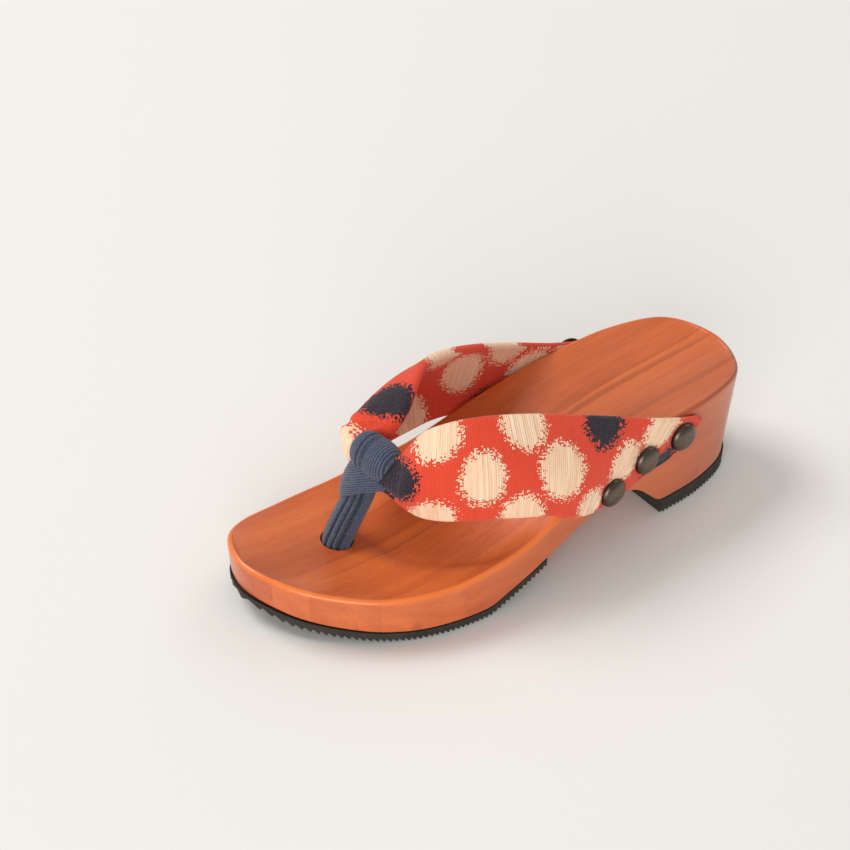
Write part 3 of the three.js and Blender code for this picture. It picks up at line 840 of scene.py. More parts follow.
@dataclass
class WoodenBase:
    """The one-piece wooden base with its dished footbed and the hole of the toe post."""

    last: Last
    stations: int = 120
    footbed_columns: int = 56
    underside_columns: int = 8
    rim_radius: float = 2.0
    rim_steps: int = 6
    rim_highlight_fade: float = 0.15
    wall_stops: tuple[float, ...] = (0.06, 0.5, 0.94)
    foot_edge: float = 0.8
    foot_steps: int = 3
    dish_power: float = 3.0
    scoop_depth: float = 1.5
    scoop_apex_y: float = -66.5
    scoop_curve: float = 0.0155
    scoop_edge: float = 2.3
    scoop_fade_y: tuple[float, float] = (-40.0, 0.0)
    scoop_side_gain: float = 2.2
    hole_place: tuple[float, float] = (-10.0, -75.0)
    hole_halves: tuple[float, float] = (7.6, 6.9)
    hole_heights: tuple[float, float] = (-5.0, 45.0)
    recess_halves: tuple[float, float] = (11.0, 10.0)
    recess_heights: tuple[float, float] = (-5.0, 10.4)
    hole_sides: int = 72
    crease: float = 38.0

    def _ring(self, loop: Array, outward: Array, inset: Array, height: Array) -> Array:
        """The plan moved inwards by an inset, at a height, both given point by point."""
        moved = loop - outward * inset[:, None]
        return np.column_stack([moved, height])

    def _rings(self) -> list[Array]:
        """The wall's rings from the footbed's edge over the rim and down to the underside."""
        loop, outward = self.last.outline(self.stations)
        at = self.last.share(loop[:, 1])
        rim, lean, under = self.last.rim(at), self.last.lean(at), self.last.under(at)
        rings = []
        for angle in np.linspace(0.0, math.pi / 2, self.rim_steps + 1):
            inset = self.rim_radius * (1 - math.sin(angle))
            drop = self.rim_radius * (1 - math.cos(angle))
            rings.append(self._ring(loop, outward, np.full(len(loop), inset), rim - drop))
        low, high = under + self.foot_edge, rim - self.rim_radius
        for down in self.wall_stops:
            rings.append(self._ring(loop, outward, lean * down, high + (low - high) * down))
        for angle in np.linspace(0.0, math.pi / 2, self.foot_steps + 1):
            inset = lean + self.foot_edge * (1 - math.cos(angle))
            rise = self.foot_edge * (1 - math.sin(angle))
            rings.append(self._ring(loop, outward, inset, under + rise))
        return rings

    def _across(self, columns: int) -> Array:
        """Shares of the way across the foot, closer together near the edges."""
        return (1 - np.cos(np.pi * np.arange(columns + 1) / columns)) / 2

    def _face(self, ring: Array, columns: int) -> Array:
        """A grid across the foot between the two sides of a ring."""
        count = self.stations
        lateral = ring[: count + 1]
        medial = np.concatenate([ring[:1], ring[count:][::-1]])
        across = self._across(columns)[:, None]
        return medial[:, None] * (1 - across) + lateral[:, None] * across

    def _footbed(self, ring: Array) -> Array:
        """The footbed: dished between its edges, with the scoop for the ball of the foot."""
        grid = self._face(ring, self.footbed_columns)
        x, y = grid[..., 0], grid[..., 1]
        across = self._across(self.footbed_columns)
        hollow = 1 - np.abs(2 * across - 1) ** self.dish_power
        grid[..., 2] -= self.last.dish(self.last.share(y)) * hollow
        front = self.scoop_apex_y + self.scoop_curve * x * x
        scoop = smooth_step(-self.scoop_edge, self.scoop_edge, y - front)
        scoop *= 1 - smooth_step(*self.scoop_fade_y, y)
        grid[..., 2] -= self.scoop_depth * scoop * np.clip(hollow * self.scoop_side_gain, 0.0, 1.0)
        return grid

    def _drill(
        self, piece: bpy.types.Object, halves: tuple[float, float], heights: tuple[float, float]
    ) -> None:
        """Cuts an upright oval hole at the toe post's place.

        Args:
            piece: the wood.
            halves: the hole's half width and half depth, in millimetres.
            heights: its lower and upper ends.
        """
        low, high = heights
        centre = self.last.metres(np.array([*self.hole_place, (low + high) / 2]))
        deselect()
        bpy.ops.mesh.primitive_cylinder_add(
            vertices=self.hole_sides, radius=MM, depth=(high - low) * MM, location=centre
        )
        cutter = bpy.context.object
        bpy.ops.transform.resize(value=(*halves, 1.0), center_override=centre)
        bpy.ops.object.transform_apply(location=True, rotation=True, scale=True)
        apply_modifier(piece, "BOOLEAN", operation="DIFFERENCE", object=cutter, solver="EXACT")
        bpy.data.objects.remove(cutter)

    def build(self, finish: bpy.types.Material) -> bpy.types.Object:
        """Makes the base.

        Args:
            finish: the wood's material.

        Returns:
            The piece that stands for the base.
        """
        rings = self._rings()
        top = self.last.metres(self._footbed(rings[0]))
        under = self.last.metres(self._face(rings[-1], self.underside_columns))
        wall = self.last.metres(np.stack([np.concatenate([r, r[:1]]) for r in rings]))
        # the rim field is the painted highlight's mask, highest on the rounded rim's crest
        turn = np.linspace(self.rim_highlight_fade, math.pi - self.rim_highlight_fade, self.rim_steps + 1)
        rim = np.zeros(wall.shape[:2])
        rim[: self.rim_steps + 1] = np.sin(turn)[:, None]
        rim_highlight_top = np.zeros(top.shape[:2])
        rim_highlight_top[:, [0, -1]] = rim_highlight_top[[0, -1]] = rim[0, 0]
        parts = [
            sheet_of("footbed", top, fields={"rim": rim_highlight_top}),
            sheet_of("wall", wall, fields={"rim": rim}),
            sheet_of("underside", under, fields={"rim": np.zeros(under.shape[:2])}),
        ]
        piece = join("wooden_base", parts)
        self._drill(piece, self.hole_halves, self.hole_heights)
        self._drill(piece, self.recess_halves, self.recess_heights)
        smooth(piece, self.crease)
        return hand_over(piece, finish, "wood", "base")


FOREFOOT_Y, HEEL_Y = (-121.6, -8.0), (63.0, 120.1)  # where each rubber piece starts and ends


@dataclass
class TreadedRubber:
    """A rubber sole piece whose underside is cut into fine teeth across the foot."""

    last: Last
    name: str
    node: str
    ends: tuple[float, float]
    columns: int = 16
    pitch: float = 2.3
    tooth: float = 1.45
    tooth_stops: tuple[float, ...] = (0.10, 0.28, 0.42, 1.0)  # shares of the pitch
    deepest_cut: float = 0.45  # share of the rubber's thickness
    gap: float = 0.3
    edge: float = 0.4
    crease: float = 30.0

    def _rows(self) -> tuple[Array, Array]:
        """The places along the foot where the teeth turn, and how high each is cut."""
        start_y, end_y = self.ends
        teeth = max(1, round((end_y - start_y) / self.pitch))
        step = (end_y - start_y) / teeth
        y, cut = [start_y], [0.0]
        for i in range(teeth):
            start = start_y + i * step
            y += [start + step * share for share in self.tooth_stops]
            cut += [0.0, self.tooth, self.tooth, 0.0]
        return np.array(y), np.array(cut)

    def build(self, finish: bpy.types.Material) -> bpy.types.Object:
        """Makes the rubber piece.

        Args:
            finish: the rubber's material.

        Returns:
            The piece that stands for the solid.
        """
        y, cut = self._rows()
        y = np.clip(y, self.last.lateral[0, 1], self.last.lateral[-1, 1])
        at = self.last.share(y)
        under, thick, lean = self.last.under(at), self.last.rubber(at), self.last.lean(at)
        across = np.linspace(0.0, 1.0, self.columns + 1)

        def level(inset: Array, height: Array) -> Array:
            """A grid across the foot at a height for each row."""
            lateral, medial = self.last.edge(y, 1) - inset, self.last.edge(y, -1) + inset
            middle = (lateral + medial) / 2
            lateral, medial = np.maximum(lateral, middle), np.minimum(medial, middle)
            x = medial[:, None] * (1 - across) + lateral[:, None] * across
            return np.stack([x, x * 0 + y[:, None], x * 0 + height[:, None]], axis=-1)

        teeth = np.minimum(cut, thick * self.deepest_cut)
        top = level(lean, under - self.gap)
        bottom = level(lean + self.edge, under - thick + teeth)
        piece = slab_of(self.name, self.last.metres(top), self.last.metres(bottom))
        smooth(piece, self.crease)
        return hand_over(piece, finish, "rubber", self.node)


# ------------------------------------------------------------------ straps


class Spot(Enum):
    """The two colours of printed spot."""

    CREAM = "cream"
    NAVY = "navy"


LATERAL_ROWS = (  # low edge, high edge, crown, thickness
    ((-11, -61.5, 50.5), (-11, -60, 64), 0.5, 10.5),
    ((-3, -61.5, 50.5), (-3, -60, 64), 0.5, 10.5),
    ((6.4, -60.5, 50.8), (5.4, -55.4, 65.2), 3, 8),
    ((12.4, -57.4, 45.4), (8.2, -52, 70.4), 7, 5.6),
    ((19, -53, 42), (12, -47, 78), 8, 4.4),
    ((28.5, -45, 42), (18, -38, 82.5), 7, 3.8),
    ((37, -33.5, 43), (23.5, -27, 83.8), 6, 3.4),
    ((43.5, -20, 41.5), (28, -13, 81.5), 5.5, 3.2),
    ((47.5, -7, 38.5), (32, 3.5, 76.7), 5, 3.0),
    ((49.6, 5, 33), (35.4, 19, 71), 4.5, 2.8),
    ((48.4, 15, 29.5), (38.4, 34.5, 65), 4, 2.6),
    ((47.2, 25.5, 28.5), (41.4, 49.5, 59), 3, 2.4),
    ((46.2, 36.5, 30.5), (43.9, 61, 55.3), 1.4, 2.4),
    ((45.6, 48, 33.5), (45.0, 70, 52.2), 0.5, 2.4),
    ((45.1, 60.5, 35.3), (44.9, 76.5, 49.8), 0, 2.4),
    ((44.6, 73, 38.4), (44.4, 80, 47.2), 0, 2.4),
)

MEDIAL_ROWS = (
    ((-2, -61, 54), (-2, -60.4, 60.4), 0.2, 5),
    ((-8.5, -61.2, 52.2), (-8.5, -60.2, 62.4), 0.4, 7.6),
    ((-15, -61.5, 50), (-11, -54.5, 65), 6, 8),
    ((-21, -58.5, 45.5), (-9.5, -48.5, 68.5), 12.5, 5.6),
    ((-27, -52, 42), (-10.5, -40, 73.5), 11.6, 4.4),
    ((-31.5, -42, 39.5), (-15, -31.5, 79), 10.4, 3.8),
    ((-34.5, -30, 37.5), (-20.2, -24, 81.2), 9, 3.4),
    ((-36, -18, 36.5), (-25, -14.5, 80), 6.4, 3.2),
    ((-36.6, -6, 36), (-27.4, -3, 77.2), 4.5, 3.0),
    ((-36, 5, 34.5), (-28.6, 8, 73.6), 4, 2.8),
    ((-34.6, 16, 31), (-29.2, 21.5, 68.6), 3.4, 2.6),
    ((-32.6, 27, 30), (-29.2, 36, 62.6), 2.4, 2.4),
    ((-31.0, 38, 31.5), (-28.9, 49.5, 56.6), 1.2, 2.4),
    ((-29.7, 49, 34.2), (-28.4, 61, 52.0), 0.5, 2.4),
    ((-28.6, 61, 35.3), (-27.9, 71, 49.2), 0, 2.4),
    ((-27.4, 73, 38.4), (-27.0, 79.5, 46.6), 0, 2.4),
)

LATERAL_SPOTS = (  # along the strap, up from its middle, half length, half height, colour
    (21.5, 0.6, 8.4, 8.0, Spot.NAVY),
    (54.0, -2.0, 8.4, 11.6, Spot.CREAM),
    (88.6, -1.5, 11.0, 11.8, Spot.CREAM),
    (123.0, 1.0, 8.0, 9.6, Spot.CREAM),
    (36.3, 19.5, 10.6, 11.4, Spot.CREAM),
    (73.0, 18.5, 9.8, 10.2, Spot.CREAM),
    (109.0, 18.6, 8.4, 10.0, Spot.NAVY),
    (137.4, 13.5, 8.6, 10.3, Spot.CREAM),
    (34.5, -19.5, 9.4, 10.6, Spot.CREAM),
    (71.0, -22.0, 10.4, 11.2, Spot.CREAM),
    (108.5, -17.0, 8.0, 8.4, Spot.CREAM),
    (152.0, -9.5, 7.6, 9.0, Spot.NAVY),
)

MEDIAL_SPOTS = (
    (10.5, -6.5, 8.6, 9.6, Spot.CREAM),
    (47.0, -4.0, 9.0, 10.6, Spot.CREAM),
    (82.0, -2.0, 9.0, 10.6, Spot.CREAM),
    (117.0, 1.0, 8.6, 10.6, Spot.CREAM),
    (28.0, 14.5, 8.6, 12.2, Spot.NAVY),
    (62.5, 18.5, 10.6, 10.0, Spot.CREAM),
    (99.5, 18.0, 9.0, 10.6, Spot.CREAM),
    (28.5, -20.0, 9.0, 10.6, Spot.CREAM),
    (64.5, -19.0, 9.0, 10.6, Spot.CREAM),
    (99.5, -17.0, 9.0, 10.6, Spot.NAVY),
    (133.0, -8.0, 8.0, 9.0, Spot.CREAM),
)

LINING_SPOTS = (
    (14.0, 0.0, 9.4, 11.6, Spot.CREAM),
    (47.0, 2.0, 9.8, 12.0, Spot.CREAM),
    (84.0, 3.5, 10.6, 12.4, Spot.CREAM),
    (119.0, 1.0, 9.4, 11.6, Spot.CREAM),
    (31.5, 18.0, 9.4, 11.6, Spot.CREAM),
    (66.5, 20.5, 9.4, 10.0, Spot.CREAM),
    (103.5, 18.0, 9.4, 11.6, Spot.CREAM),
    (31.5, -18.0, 9.4, 11.6, Spot.CREAM),
    (57.0, -17.5, 9.8, 11.6, Spot.CREAM),
    (101.5, -20.0, 9.4, 11.6, Spot.NAVY),
    (136.0, 9.0, 8.0, 9.0, Spot.CREAM),
)


@dataclass(frozen=True)
class Gather:
    """A soft trough or ridge in a strap: its place on the cloth, reach and depth in mm."""

    along: float
    up: float
    reach_along: float
    reach_up: float
    depth: float
    slant: float = 0.0

    def sink(self, along: Array, up: Array) -> Array:
        """How deep the cloth sinks at some places of the strap's outer face."""
        du, dv = along - self.along, up - self.up
        cos, sin = math.cos(self.slant), math.sin(self.slant)
        a, b = du * cos + dv * sin, dv * cos - du * sin
        return self.depth * bell(a, self.reach_along) * bell(b, self.reach_up)


LATERAL_GATHERS = (
    Gather(18.5, 10.5, 4.5, 4.0, -1.8, 0.3),
    Gather(23.5, 5.5, 7.0, 1.8, 0.9, 0.7),
    Gather(16.0, -11.0, 6.0, 2.2, 1.0, -0.5),
    Gather(115.0, -15.5, 2.6, 3.4, -1.3, 0.7),
)

MEDIAL_GATHERS = (
    Gather(14.5, 3.5, 3.2, 2.8, 4.4, 0.3),
    Gather(18.5, 0.0, 5.5, 1.6, 1.6, -0.5),
    Gather(19.0, 8.5, 6.5, 1.7, 1.6, 0.5),
    Gather(12.0, 9.5, 4.0, 2.4, -1.2, 0.2),
    Gather(14.0, -9.0, 6.0, 2.4, 1.4, -0.3),
)

TACK_PLACES = ((25.8, 35.2), (46.0, 42.0), (67.4, 44.2))  # along the foot, height


@dataclass
class Strap:
    """One strap: a flattened tube of printed cloth, gathered at the knot and tacked behind."""

    last: Last
    name: str
    side: int
    rows: tuple
    spots: tuple
    gathers: tuple[Gather, ...]
    tack_places: tuple[tuple[float, float], ...] = TACK_PLACES
    rings: int = 340
    face_steps: int = 44
    edge_steps: int = 8
    arc_steps: int = 100
    look_ahead: float = 0.5 / 32
    clearance: float = 0.3
    face_lift: float = 1.9  # how far the outer face stays off the wall
    fold_lift: float = 0.9  # how far the folded edges stay off it
    wall_fade: tuple[float, float] = (3.5, -0.5)  # heights over the rim where the wall counts
    tail_round: float = 5.0
    bead: float = 0.35  # by how much the folded edges are thicker than the faces
    bead_reach: float = 0.10
    pucker: float = 0.8
    pucker_fade: tuple[float, float] = (9.0, 7.0)  # where along the strap they fade, how slowly
    pucker_waves: tuple[Point, ...] = ((0.55, 4.2, 0.6), (0.35, 7.3, 2.1))  # height, count, turn
    press: float = 0.9  # how deep a tack's head sinks the cloth
    press_radius: float = 5.5
    press_fade: float = 3.2
    lining_shift: float = 60.0
    crease: float = 60.0

    def _edges(self, share: Array) -> tuple[Array, Array]:
        """The strap's low and high edges at places along it."""
        low, high = (
            through_points([row[i] for row in self.rows], share, closed=False) for i in (0, 1)
        )
        return low, high

    def _frames(self, share: Array) -> dict[str, Array]:
        """The strap's middle line and its cross directions at places along it."""
        low, high = self._edges(share)
        body = through_points(
            [(row[2], row[3], i) for i, row in enumerate(self.rows)], share, closed=False
        )
        ahead = sum(self._edges(np.minimum(1.0, share + self.look_ahead)))
        ahead = (ahead - sum(self._edges(np.maximum(0.0, share - self.look_ahead)))) / 2
        ahead /= np.linalg.norm(ahead, axis=1)[:, None]
        across = high - low
        width = np.linalg.norm(across, axis=1)
        across /= width[:, None]
        outward = np.cross(ahead, across) * self.side
        outward /= np.linalg.norm(outward, axis=1)[:, None]
        middle = (low + high) / 2
        return {
            "middle": middle[:, None],
            "across": across[:, None],
            "outward": outward[:, None],
            "width": width[:, None],
            "crown": body[:, :1],
            "half": body[:, 1:2] / 2,
            "along": length_along(middle)[:, None],
        }

    def _section(self) -> list[tuple[float, float, bool]]:
        """The stops round a section: place across, turn of the offset, whether it is inside."""
        face = np.linspace(-1.0, 1.0, self.face_steps + 1)
        edge = [math.pi * (k + 1) / (self.edge_steps + 1) for k in range(self.edge_steps)]
        stops = [(v, 0.0, False) for v in face]
        stops += [(1.0, -turn, turn > math.pi * 0.75) for turn in edge]
        stops += [(v, math.pi, True) for v in face[::-1]]
        stops += [(-1.0, math.pi - turn, turn < math.pi * 0.25) for turn in edge]
        return [*stops, stops[0]]

    def _distance(self, spots: tuple, colour: Spot, along: Array, up: Array) -> Array:
        """The distance outside the nearest spot of a colour, in millimetres."""
        nearest = np.full(along.shape, 60.0)
        for u, v, half_along, half_up, kind in spots:
            if kind is colour:
                ring = np.hypot((along - u) / half_along, (up - v) / half_up)
                nearest = np.minimum(nearest, (ring - 1.0) * (half_along + half_up) / 2)
        return nearest

    def _clear_wall(self, points: Array, depth: Array) -> Array:
        """Moves cloth that would enter the wooden wall to just outside it."""
        x, y, z = points[..., 0], points[..., 1], points[..., 2]
        shape = y.shape
        rim = self.last.rim(self.last.share(y.ravel())).reshape(shape)
        wall = self.last.wall(y.ravel(), z.ravel(), self.side).reshape(shape)
        least = wall + self.side * (self.clearance + depth)
        short = np.maximum(0.0, (least - x) * self.side)
        short *= smooth_step(*self.wall_fade, z - rim)
        points[..., 0] += self.side * short
        return points

    def _puckers(self, along: Array, up: Array, width: Array) -> Array:
        """The fine gathers that fan out from the knot."""
        start, reach = self.pucker_fade
        fade = np.exp(-np.maximum(along - start, 0.0) / reach)
        spread = up / np.maximum(width, 6.0)
        waves = (h * np.cos(2 * math.pi * k * spread + turn) for h, k, turn in self.pucker_waves)
        return self.pucker * sum(waves) * fade

    def _up(self, chord: Array, crown: Array, v: Array) -> Array:
        """How far up from the strap's middle each stop lies, measured along the crown."""
        line = np.linspace(-1.0, 1.0, self.arc_steps + 1)
        arcs = np.hypot(np.diff(chord * line), np.diff(crown * (1 - line**2)))
        arcs = np.concatenate([np.zeros((self.rings, 1)), np.cumsum(arcs, axis=1)], axis=1)
        middle = self.arc_steps // 2
        arcs -= arcs[:, middle : middle + 1]
        return np.stack([np.interp(v, line, row) for row in arcs])

    def _sink(self, f: dict[str, Array], along: Array, up: Array, across: Array) -> Array:
        """How deep the outer face sinks in the puckers, in the gathers and under the tacks."""
        sink = self._puckers(along, up, f["width"])
        for gather in self.gathers:
            sink = sink + gather.sink(along, up)
        line = f["middle"] + f["across"] * across[..., None]
        for y, z in self.tack_places:
            near = np.hypot(line[..., 1] - y, line[..., 2] - z)
            past = np.maximum(near - self.press_radius, 0.0)
            sink = sink + self.press * bell(past, self.press_fade)
        return sink

    def build(self, finish: bpy.types.Material) -> bpy.types.Object:
        """Makes the strap.

        Args:
            finish: the printed cloth's material.

        Returns:
            The piece, one of the two that stand for the straps.
        """
        f = self._frames(np.linspace(0.0, 1.0, self.rings))
        tail = np.minimum((f["along"][-1] - f["along"]) / self.tail_round, 1.0)
        closing = np.sqrt(np.clip(1 - (1 - tail) ** 2, 0, 1))
        half, crown = f["half"] * closing, f["crown"]
        chord = f["width"] / 2 - f["half"]
        v, turn, inside = (np.array(values) for values in zip(*self._section()))
        cos, sin = np.cos(turn), np.sin(turn)
        lx, ly = chord * v, crown * (1 - v * v)
        nx, ny = 2 * crown * v, np.maximum(chord, 0.1) + 0 * v
        size = np.hypot(nx, ny)
        reach = half * (1.0 + self.bead * bell(1 - np.abs(v), self.bead_reach)) / size
        along = np.broadcast_to(f["along"], lx.shape)
        up = self._up(chord, crown, v)
        fold = (np.abs(v) == 1.0) & (turn != 0.0) & (turn != math.pi)
        past = np.where(v > 0, -turn, math.pi - turn) * fold
        up_outer = up + np.sign(v) * half * np.abs(past)
        sink = self._sink(f, along, up, lx) * np.clip(cos, 0.0, 1.0)
        x = lx + (nx * cos - ny * sin) * reach
        y = ly + (nx * sin + ny * cos) * reach - sink
        points = f["middle"] + f["across"] * x[..., None] + f["outward"] * y[..., None]
        lift = np.where(cos > 0.3, self.face_lift, np.where(cos < -0.3, 0.0, self.fold_lift))
        points = self._clear_wall(points, lift * closing)
        fields = {}
        for colour in Spot:
            outer = self._distance(self.spots, colour, along, up_outer)
            inner = self._distance(LINING_SPOTS, colour, along, up)
            fields[colour.value] = np.where(inside, inner, outer)
        cloth = np.stack([along, np.where(inside, up + self.lining_shift, up_outer)], axis=-1) * MM
        piece = sheet_of(self.name, self.last.metres(points), cloth, fields)
        self._close_ends(piece)
        close_up(piece)
        smooth(piece, self.crease)
        return hand_over(piece, finish, "printed_fabric", "straps")

    def _close_ends(self, piece: bpy.types.Object) -> None:
        """Fills the strap's open end inside the knot."""
        choose(piece)
        bpy.ops.object.mode_set(mode="EDIT")
        bpy.ops.mesh.select_all(action="SELECT")
        bpy.ops.mesh.remove_doubles(threshold=2e-6)
        bpy.ops.mesh.select_all(action="DESELECT")
        bpy.ops.mesh.select_mode(type="EDGE")
        bpy.ops.mesh.select_non_manifold(extend=False)
        bpy.ops.mesh.fill()
        bpy.ops.object.mode_set(mode="OBJECT")


# ------------------------------------------------------------------ cord and knot


POST_ROWS = (  # centre, half width, half depth
    ((-10, -75, 6.4), 10, 9),
    ((-10, -75, 9.6), 10, 9),
    ((-10, -75, 9.9), 7.0, 6.2),
    ((-10, -75, 17), 7.1, 6.3),
    ((-9.9, -74.8, 20.5), 7.1, 6.3),
    ((-9.2, -72.6, 27), 7.3, 6.5),
    ((-8.0, -69.4, 35), 7.3, 6.5),
    ((-6.8, -66, 43), 7.0, 6.2),
    ((-6, -63.6, 50.5), 6.2, 5.8),
    ((-5.2, -62.4, 55), 5.6, 5.2),
)

COLLAR_ROWS = (  # bearing in degrees, low edge, high edge, reach outwards from the neck
    (-180, 39.4, 58.4, 9.6),
    (-150, 39.8, 58.8, 9.6),
    (-120, 42.0, 59.2, 9.2),
    (-90, 44.8, 59.6, 8.8),
    (-60, 47.2, 60.0, 9.0),
    (-30, 49.2, 60.0, 10.6),
    (0, 50.4, 58.4, 13.6),
    (15, 50.6, 56.4, 14.8),
    (40, 49.4, 56.0, 11.6),
    (65, 47.6, 56.4, 9.4),
    (90, 45.6, 56.8, 8.6),
    (130, 42.0, 57.6, 8.8),
    (180, 39.4, 58.4, 9.6),
)


@dataclass
class CordKnot:
    """The folded navy cord: its post through the toe, the collar and the loop on the straps."""

    last: Last
    grooves: tuple[tuple[float, float, float], ...] = (  # bearing, half width, depth
        (-93.0, 4.5, 1.3),
        (-64.0, 4.5, 1.3),
        (-39.0, 8.0, 1.5),
        (28.0, 7.0, 1.2),
        (118.0, 7.0, 1.2),
        (165.0, 7.0, 1.2),
    )
    post_rows: int = 90
    post_sides: int = 120
    post_radius: float = 6.8
    stop_levels: tuple[float, ...] = (6.4, 6.9, 9.2, 9.6, 9.9)
    post_levels: tuple[float, float] = (10.4, 55.0)
    fold_start: tuple[float, float] = (10.2, 11.2)
    fold_shade: tuple[float, float] = (0.50, -0.55)
    loop_centre: Point = (-3.4, -59.8, 62.0)
    loop_halves: Point = (10.8, 8.6, 9.2)
    loop_powers: tuple[float, float] = (0.66, 0.62)  # along the band, round it
    loop_sides: int = 150
    loop_turn: float = 0.12
    loop_tilt: float = 0.04
    seams: tuple[float, ...] = (-3.6, -0.8)
    seam_depth: float = 0.055
    seam_reach: float = 0.45
    seam_flat: float = 0.7
    stitch_line: float = -2.2
    stitch_depth: float = 0.03
    stitches: int = 26
    neck: tuple[float, float] = (-6.4, -64.6)
    neck_radius: float = 3.0
    collar_middle: float = 47.0
    collar_lean: tuple[float, float] = (0.06, 0.34)
    collar_powers: tuple[float, float] = (0.9, 0.42)  # up the band, out from the neck
    collar_rows: int = 96
    collar_sides: int = 180
    rib_pitch: float = 1.15
    rib_height: float = 0.13
    crease: float = 60.0

    def _ribs(self, across: Array) -> Array:
        """The ribs of the band, from 0 in a valley to 1 on a crest."""
        return 0.5 + 0.5 * np.cos(2 * math.pi * across / self.rib_pitch)

    def _post(self) -> bpy.types.Object:
        """The post: a bundle of folds from its stop under the wood up into the knot."""
        table = np.array([(*row[0], *row[1:]) for row in POST_ROWS], float)
        z = np.concatenate([self.stop_levels, np.linspace(*self.post_levels, self.post_rows)])
        x, y, wide, deep = (
            ColumnCurve(tuple(table[:, 2]), tuple(table[:, i]))(z)[:, None] for i in (0, 1, 3, 4)
        )
        z = z[:, None]
        angle = np.linspace(-math.pi, math.pi, self.post_sides + 1)
        fold = 0 * z * angle
        for bearing, half, depth in self.grooves:
            away = (np.degrees(angle) - bearing + 180.0) % 360.0 - 180.0
            fold += smooth_step(*self.fold_start, z) * depth * bell(away, half)
        scale = 1.0 - fold / self.post_radius
        x = x + wide * scale * np.cos(angle)
        y = y + deep * scale * np.sin(angle)
        points = drawn_in(np.stack([x, y, z + 0 * scale], axis=-1))
        cloth = np.stack(np.broadcast_arrays(angle * 7.0, with_ends(z)), axis=-1) * MM
        # painted shade: the rib field is darkened in the folds' grooves
        base, gain = self.fold_shade
        fields = {"rib": base + gain * with_ends(fold)}
        return sheet_of("cord_post", self.last.metres(points), cloth, fields)

    def _loop(self) -> bpy.types.Object:
        """The loop: a ribbed band wrapped round the joined straps, with two stitched lines."""
        s = -np.cos(np.linspace(0.0, math.pi, self.loop_sides))
        along_power, round_power = self.loop_powers
        across = np.sign(s) * np.abs(s) ** along_power * self.loop_halves[0]
        radius = np.sqrt(np.clip(1 - s * s, 0.0, 1.0)) ** round_power
        angle = np.linspace(0.0, 2 * math.pi, self.loop_sides + 1)
        rib, bulk = self._ribs(across), 1.0
        for seam in self.seams:
            bulk = bulk - self.seam_depth * bell(across - seam, self.seam_reach)
            # painted shade: the seams take the ribs' valley tone
            rib = rib * (1 - bell(across - seam, self.seam_flat))
        lift = (rib - 0.5) * self.rib_height / 10.0 * np.minimum(radius * 2.0, 1.0)
        r = (radius * bulk + lift)[:, None]
        pull = bell(across[:, None] - self.stitch_line, 1.0)
        r = r * (1 - self.stitch_depth * pull * (0.5 + 0.5 * np.cos(angle * self.stitches)))
        x = across[:, None] + 0.0 * r
        y = self.loop_halves[1] * r * np.cos(angle)
        z = self.loop_halves[2] * r * np.sin(angle) - x * self.loop_tilt
        cos, sin = math.cos(self.loop_turn), math.sin(self.loop_turn)
        points = np.stack([x * cos - y * sin, x * sin + y * cos, z], axis=-1)
        points += np.array(self.loop_centre)
        cloth = np.stack([x, angle * 10.5 + 0.0 * x], axis=-1) * MM
        # painted highlight and shade: the rib field lightens the crests and darkens the valleys
        fields = {"rib": np.broadcast_to(rib[:, None], x.shape)}
        return sheet_of("cord_loop", self.last.metres(points), cloth, fields)

    def _collar(self) -> bpy.types.Object:
        """The collar: the cord's turn round the neck, slanting down to the outer side."""
        angle = np.linspace(-180.0, 180.0, self.collar_sides + 1)
        low, high, far = (column(COLLAR_ROWS, i)(angle) for i in (1, 2, 3))
        turn = np.linspace(0.0, math.pi, self.collar_rows)[:, None]
        up_power, out_power = self.collar_powers
        place = 0.5 - 0.5 * np.sign(np.cos(turn)) * np.abs(np.cos(turn)) ** up_power
        out = np.sin(turn) ** out_power
        band = place * (high - low)
        rib = self._ribs(band)
        lift = (rib - 0.5) * self.rib_height * np.minimum(out * 1.5, 1.0)
        r = self.neck_radius + (far - self.neck_radius) * out + lift
        z = low + band
        bearing = np.radians(angle)
        lean_x, lean_y = ((z - self.collar_middle) * lean for lean in self.collar_lean)
        x = self.neck[0] + lean_x + r * np.cos(bearing)
        y = self.neck[1] + lean_y + r * np.sin(bearing)
        points = drawn_in(np.stack([x, y, z], axis=-1))
        cloth = np.stack(np.broadcast_arrays(with_ends(band), bearing * 9.5), axis=-1) * MM
        # painted highlight and shade: the rib field lightens the crests and darkens the valleys
        fields = {"rib": with_ends(rib)}
        return sheet_of("cord_collar", self.last.metres(points), cloth, fields)

    def build(self, finish: bpy.types.Material) -> list[bpy.types.Object]:
        """Makes the cord's three pieces.

        Args:
            finish: the cord cloth's material.

        Returns:
            The pieces, which together stand for the toe post.
        """
        pieces = [self._post(), self._loop(), self._collar()]
        for piece in pieces:
            close_up(piece)
            smooth(piece, self.crease)
            hand_over(piece, finish, "navy_fabric", "toe_post")
        return pieces


# ------------------------------------------------------------------ tacks


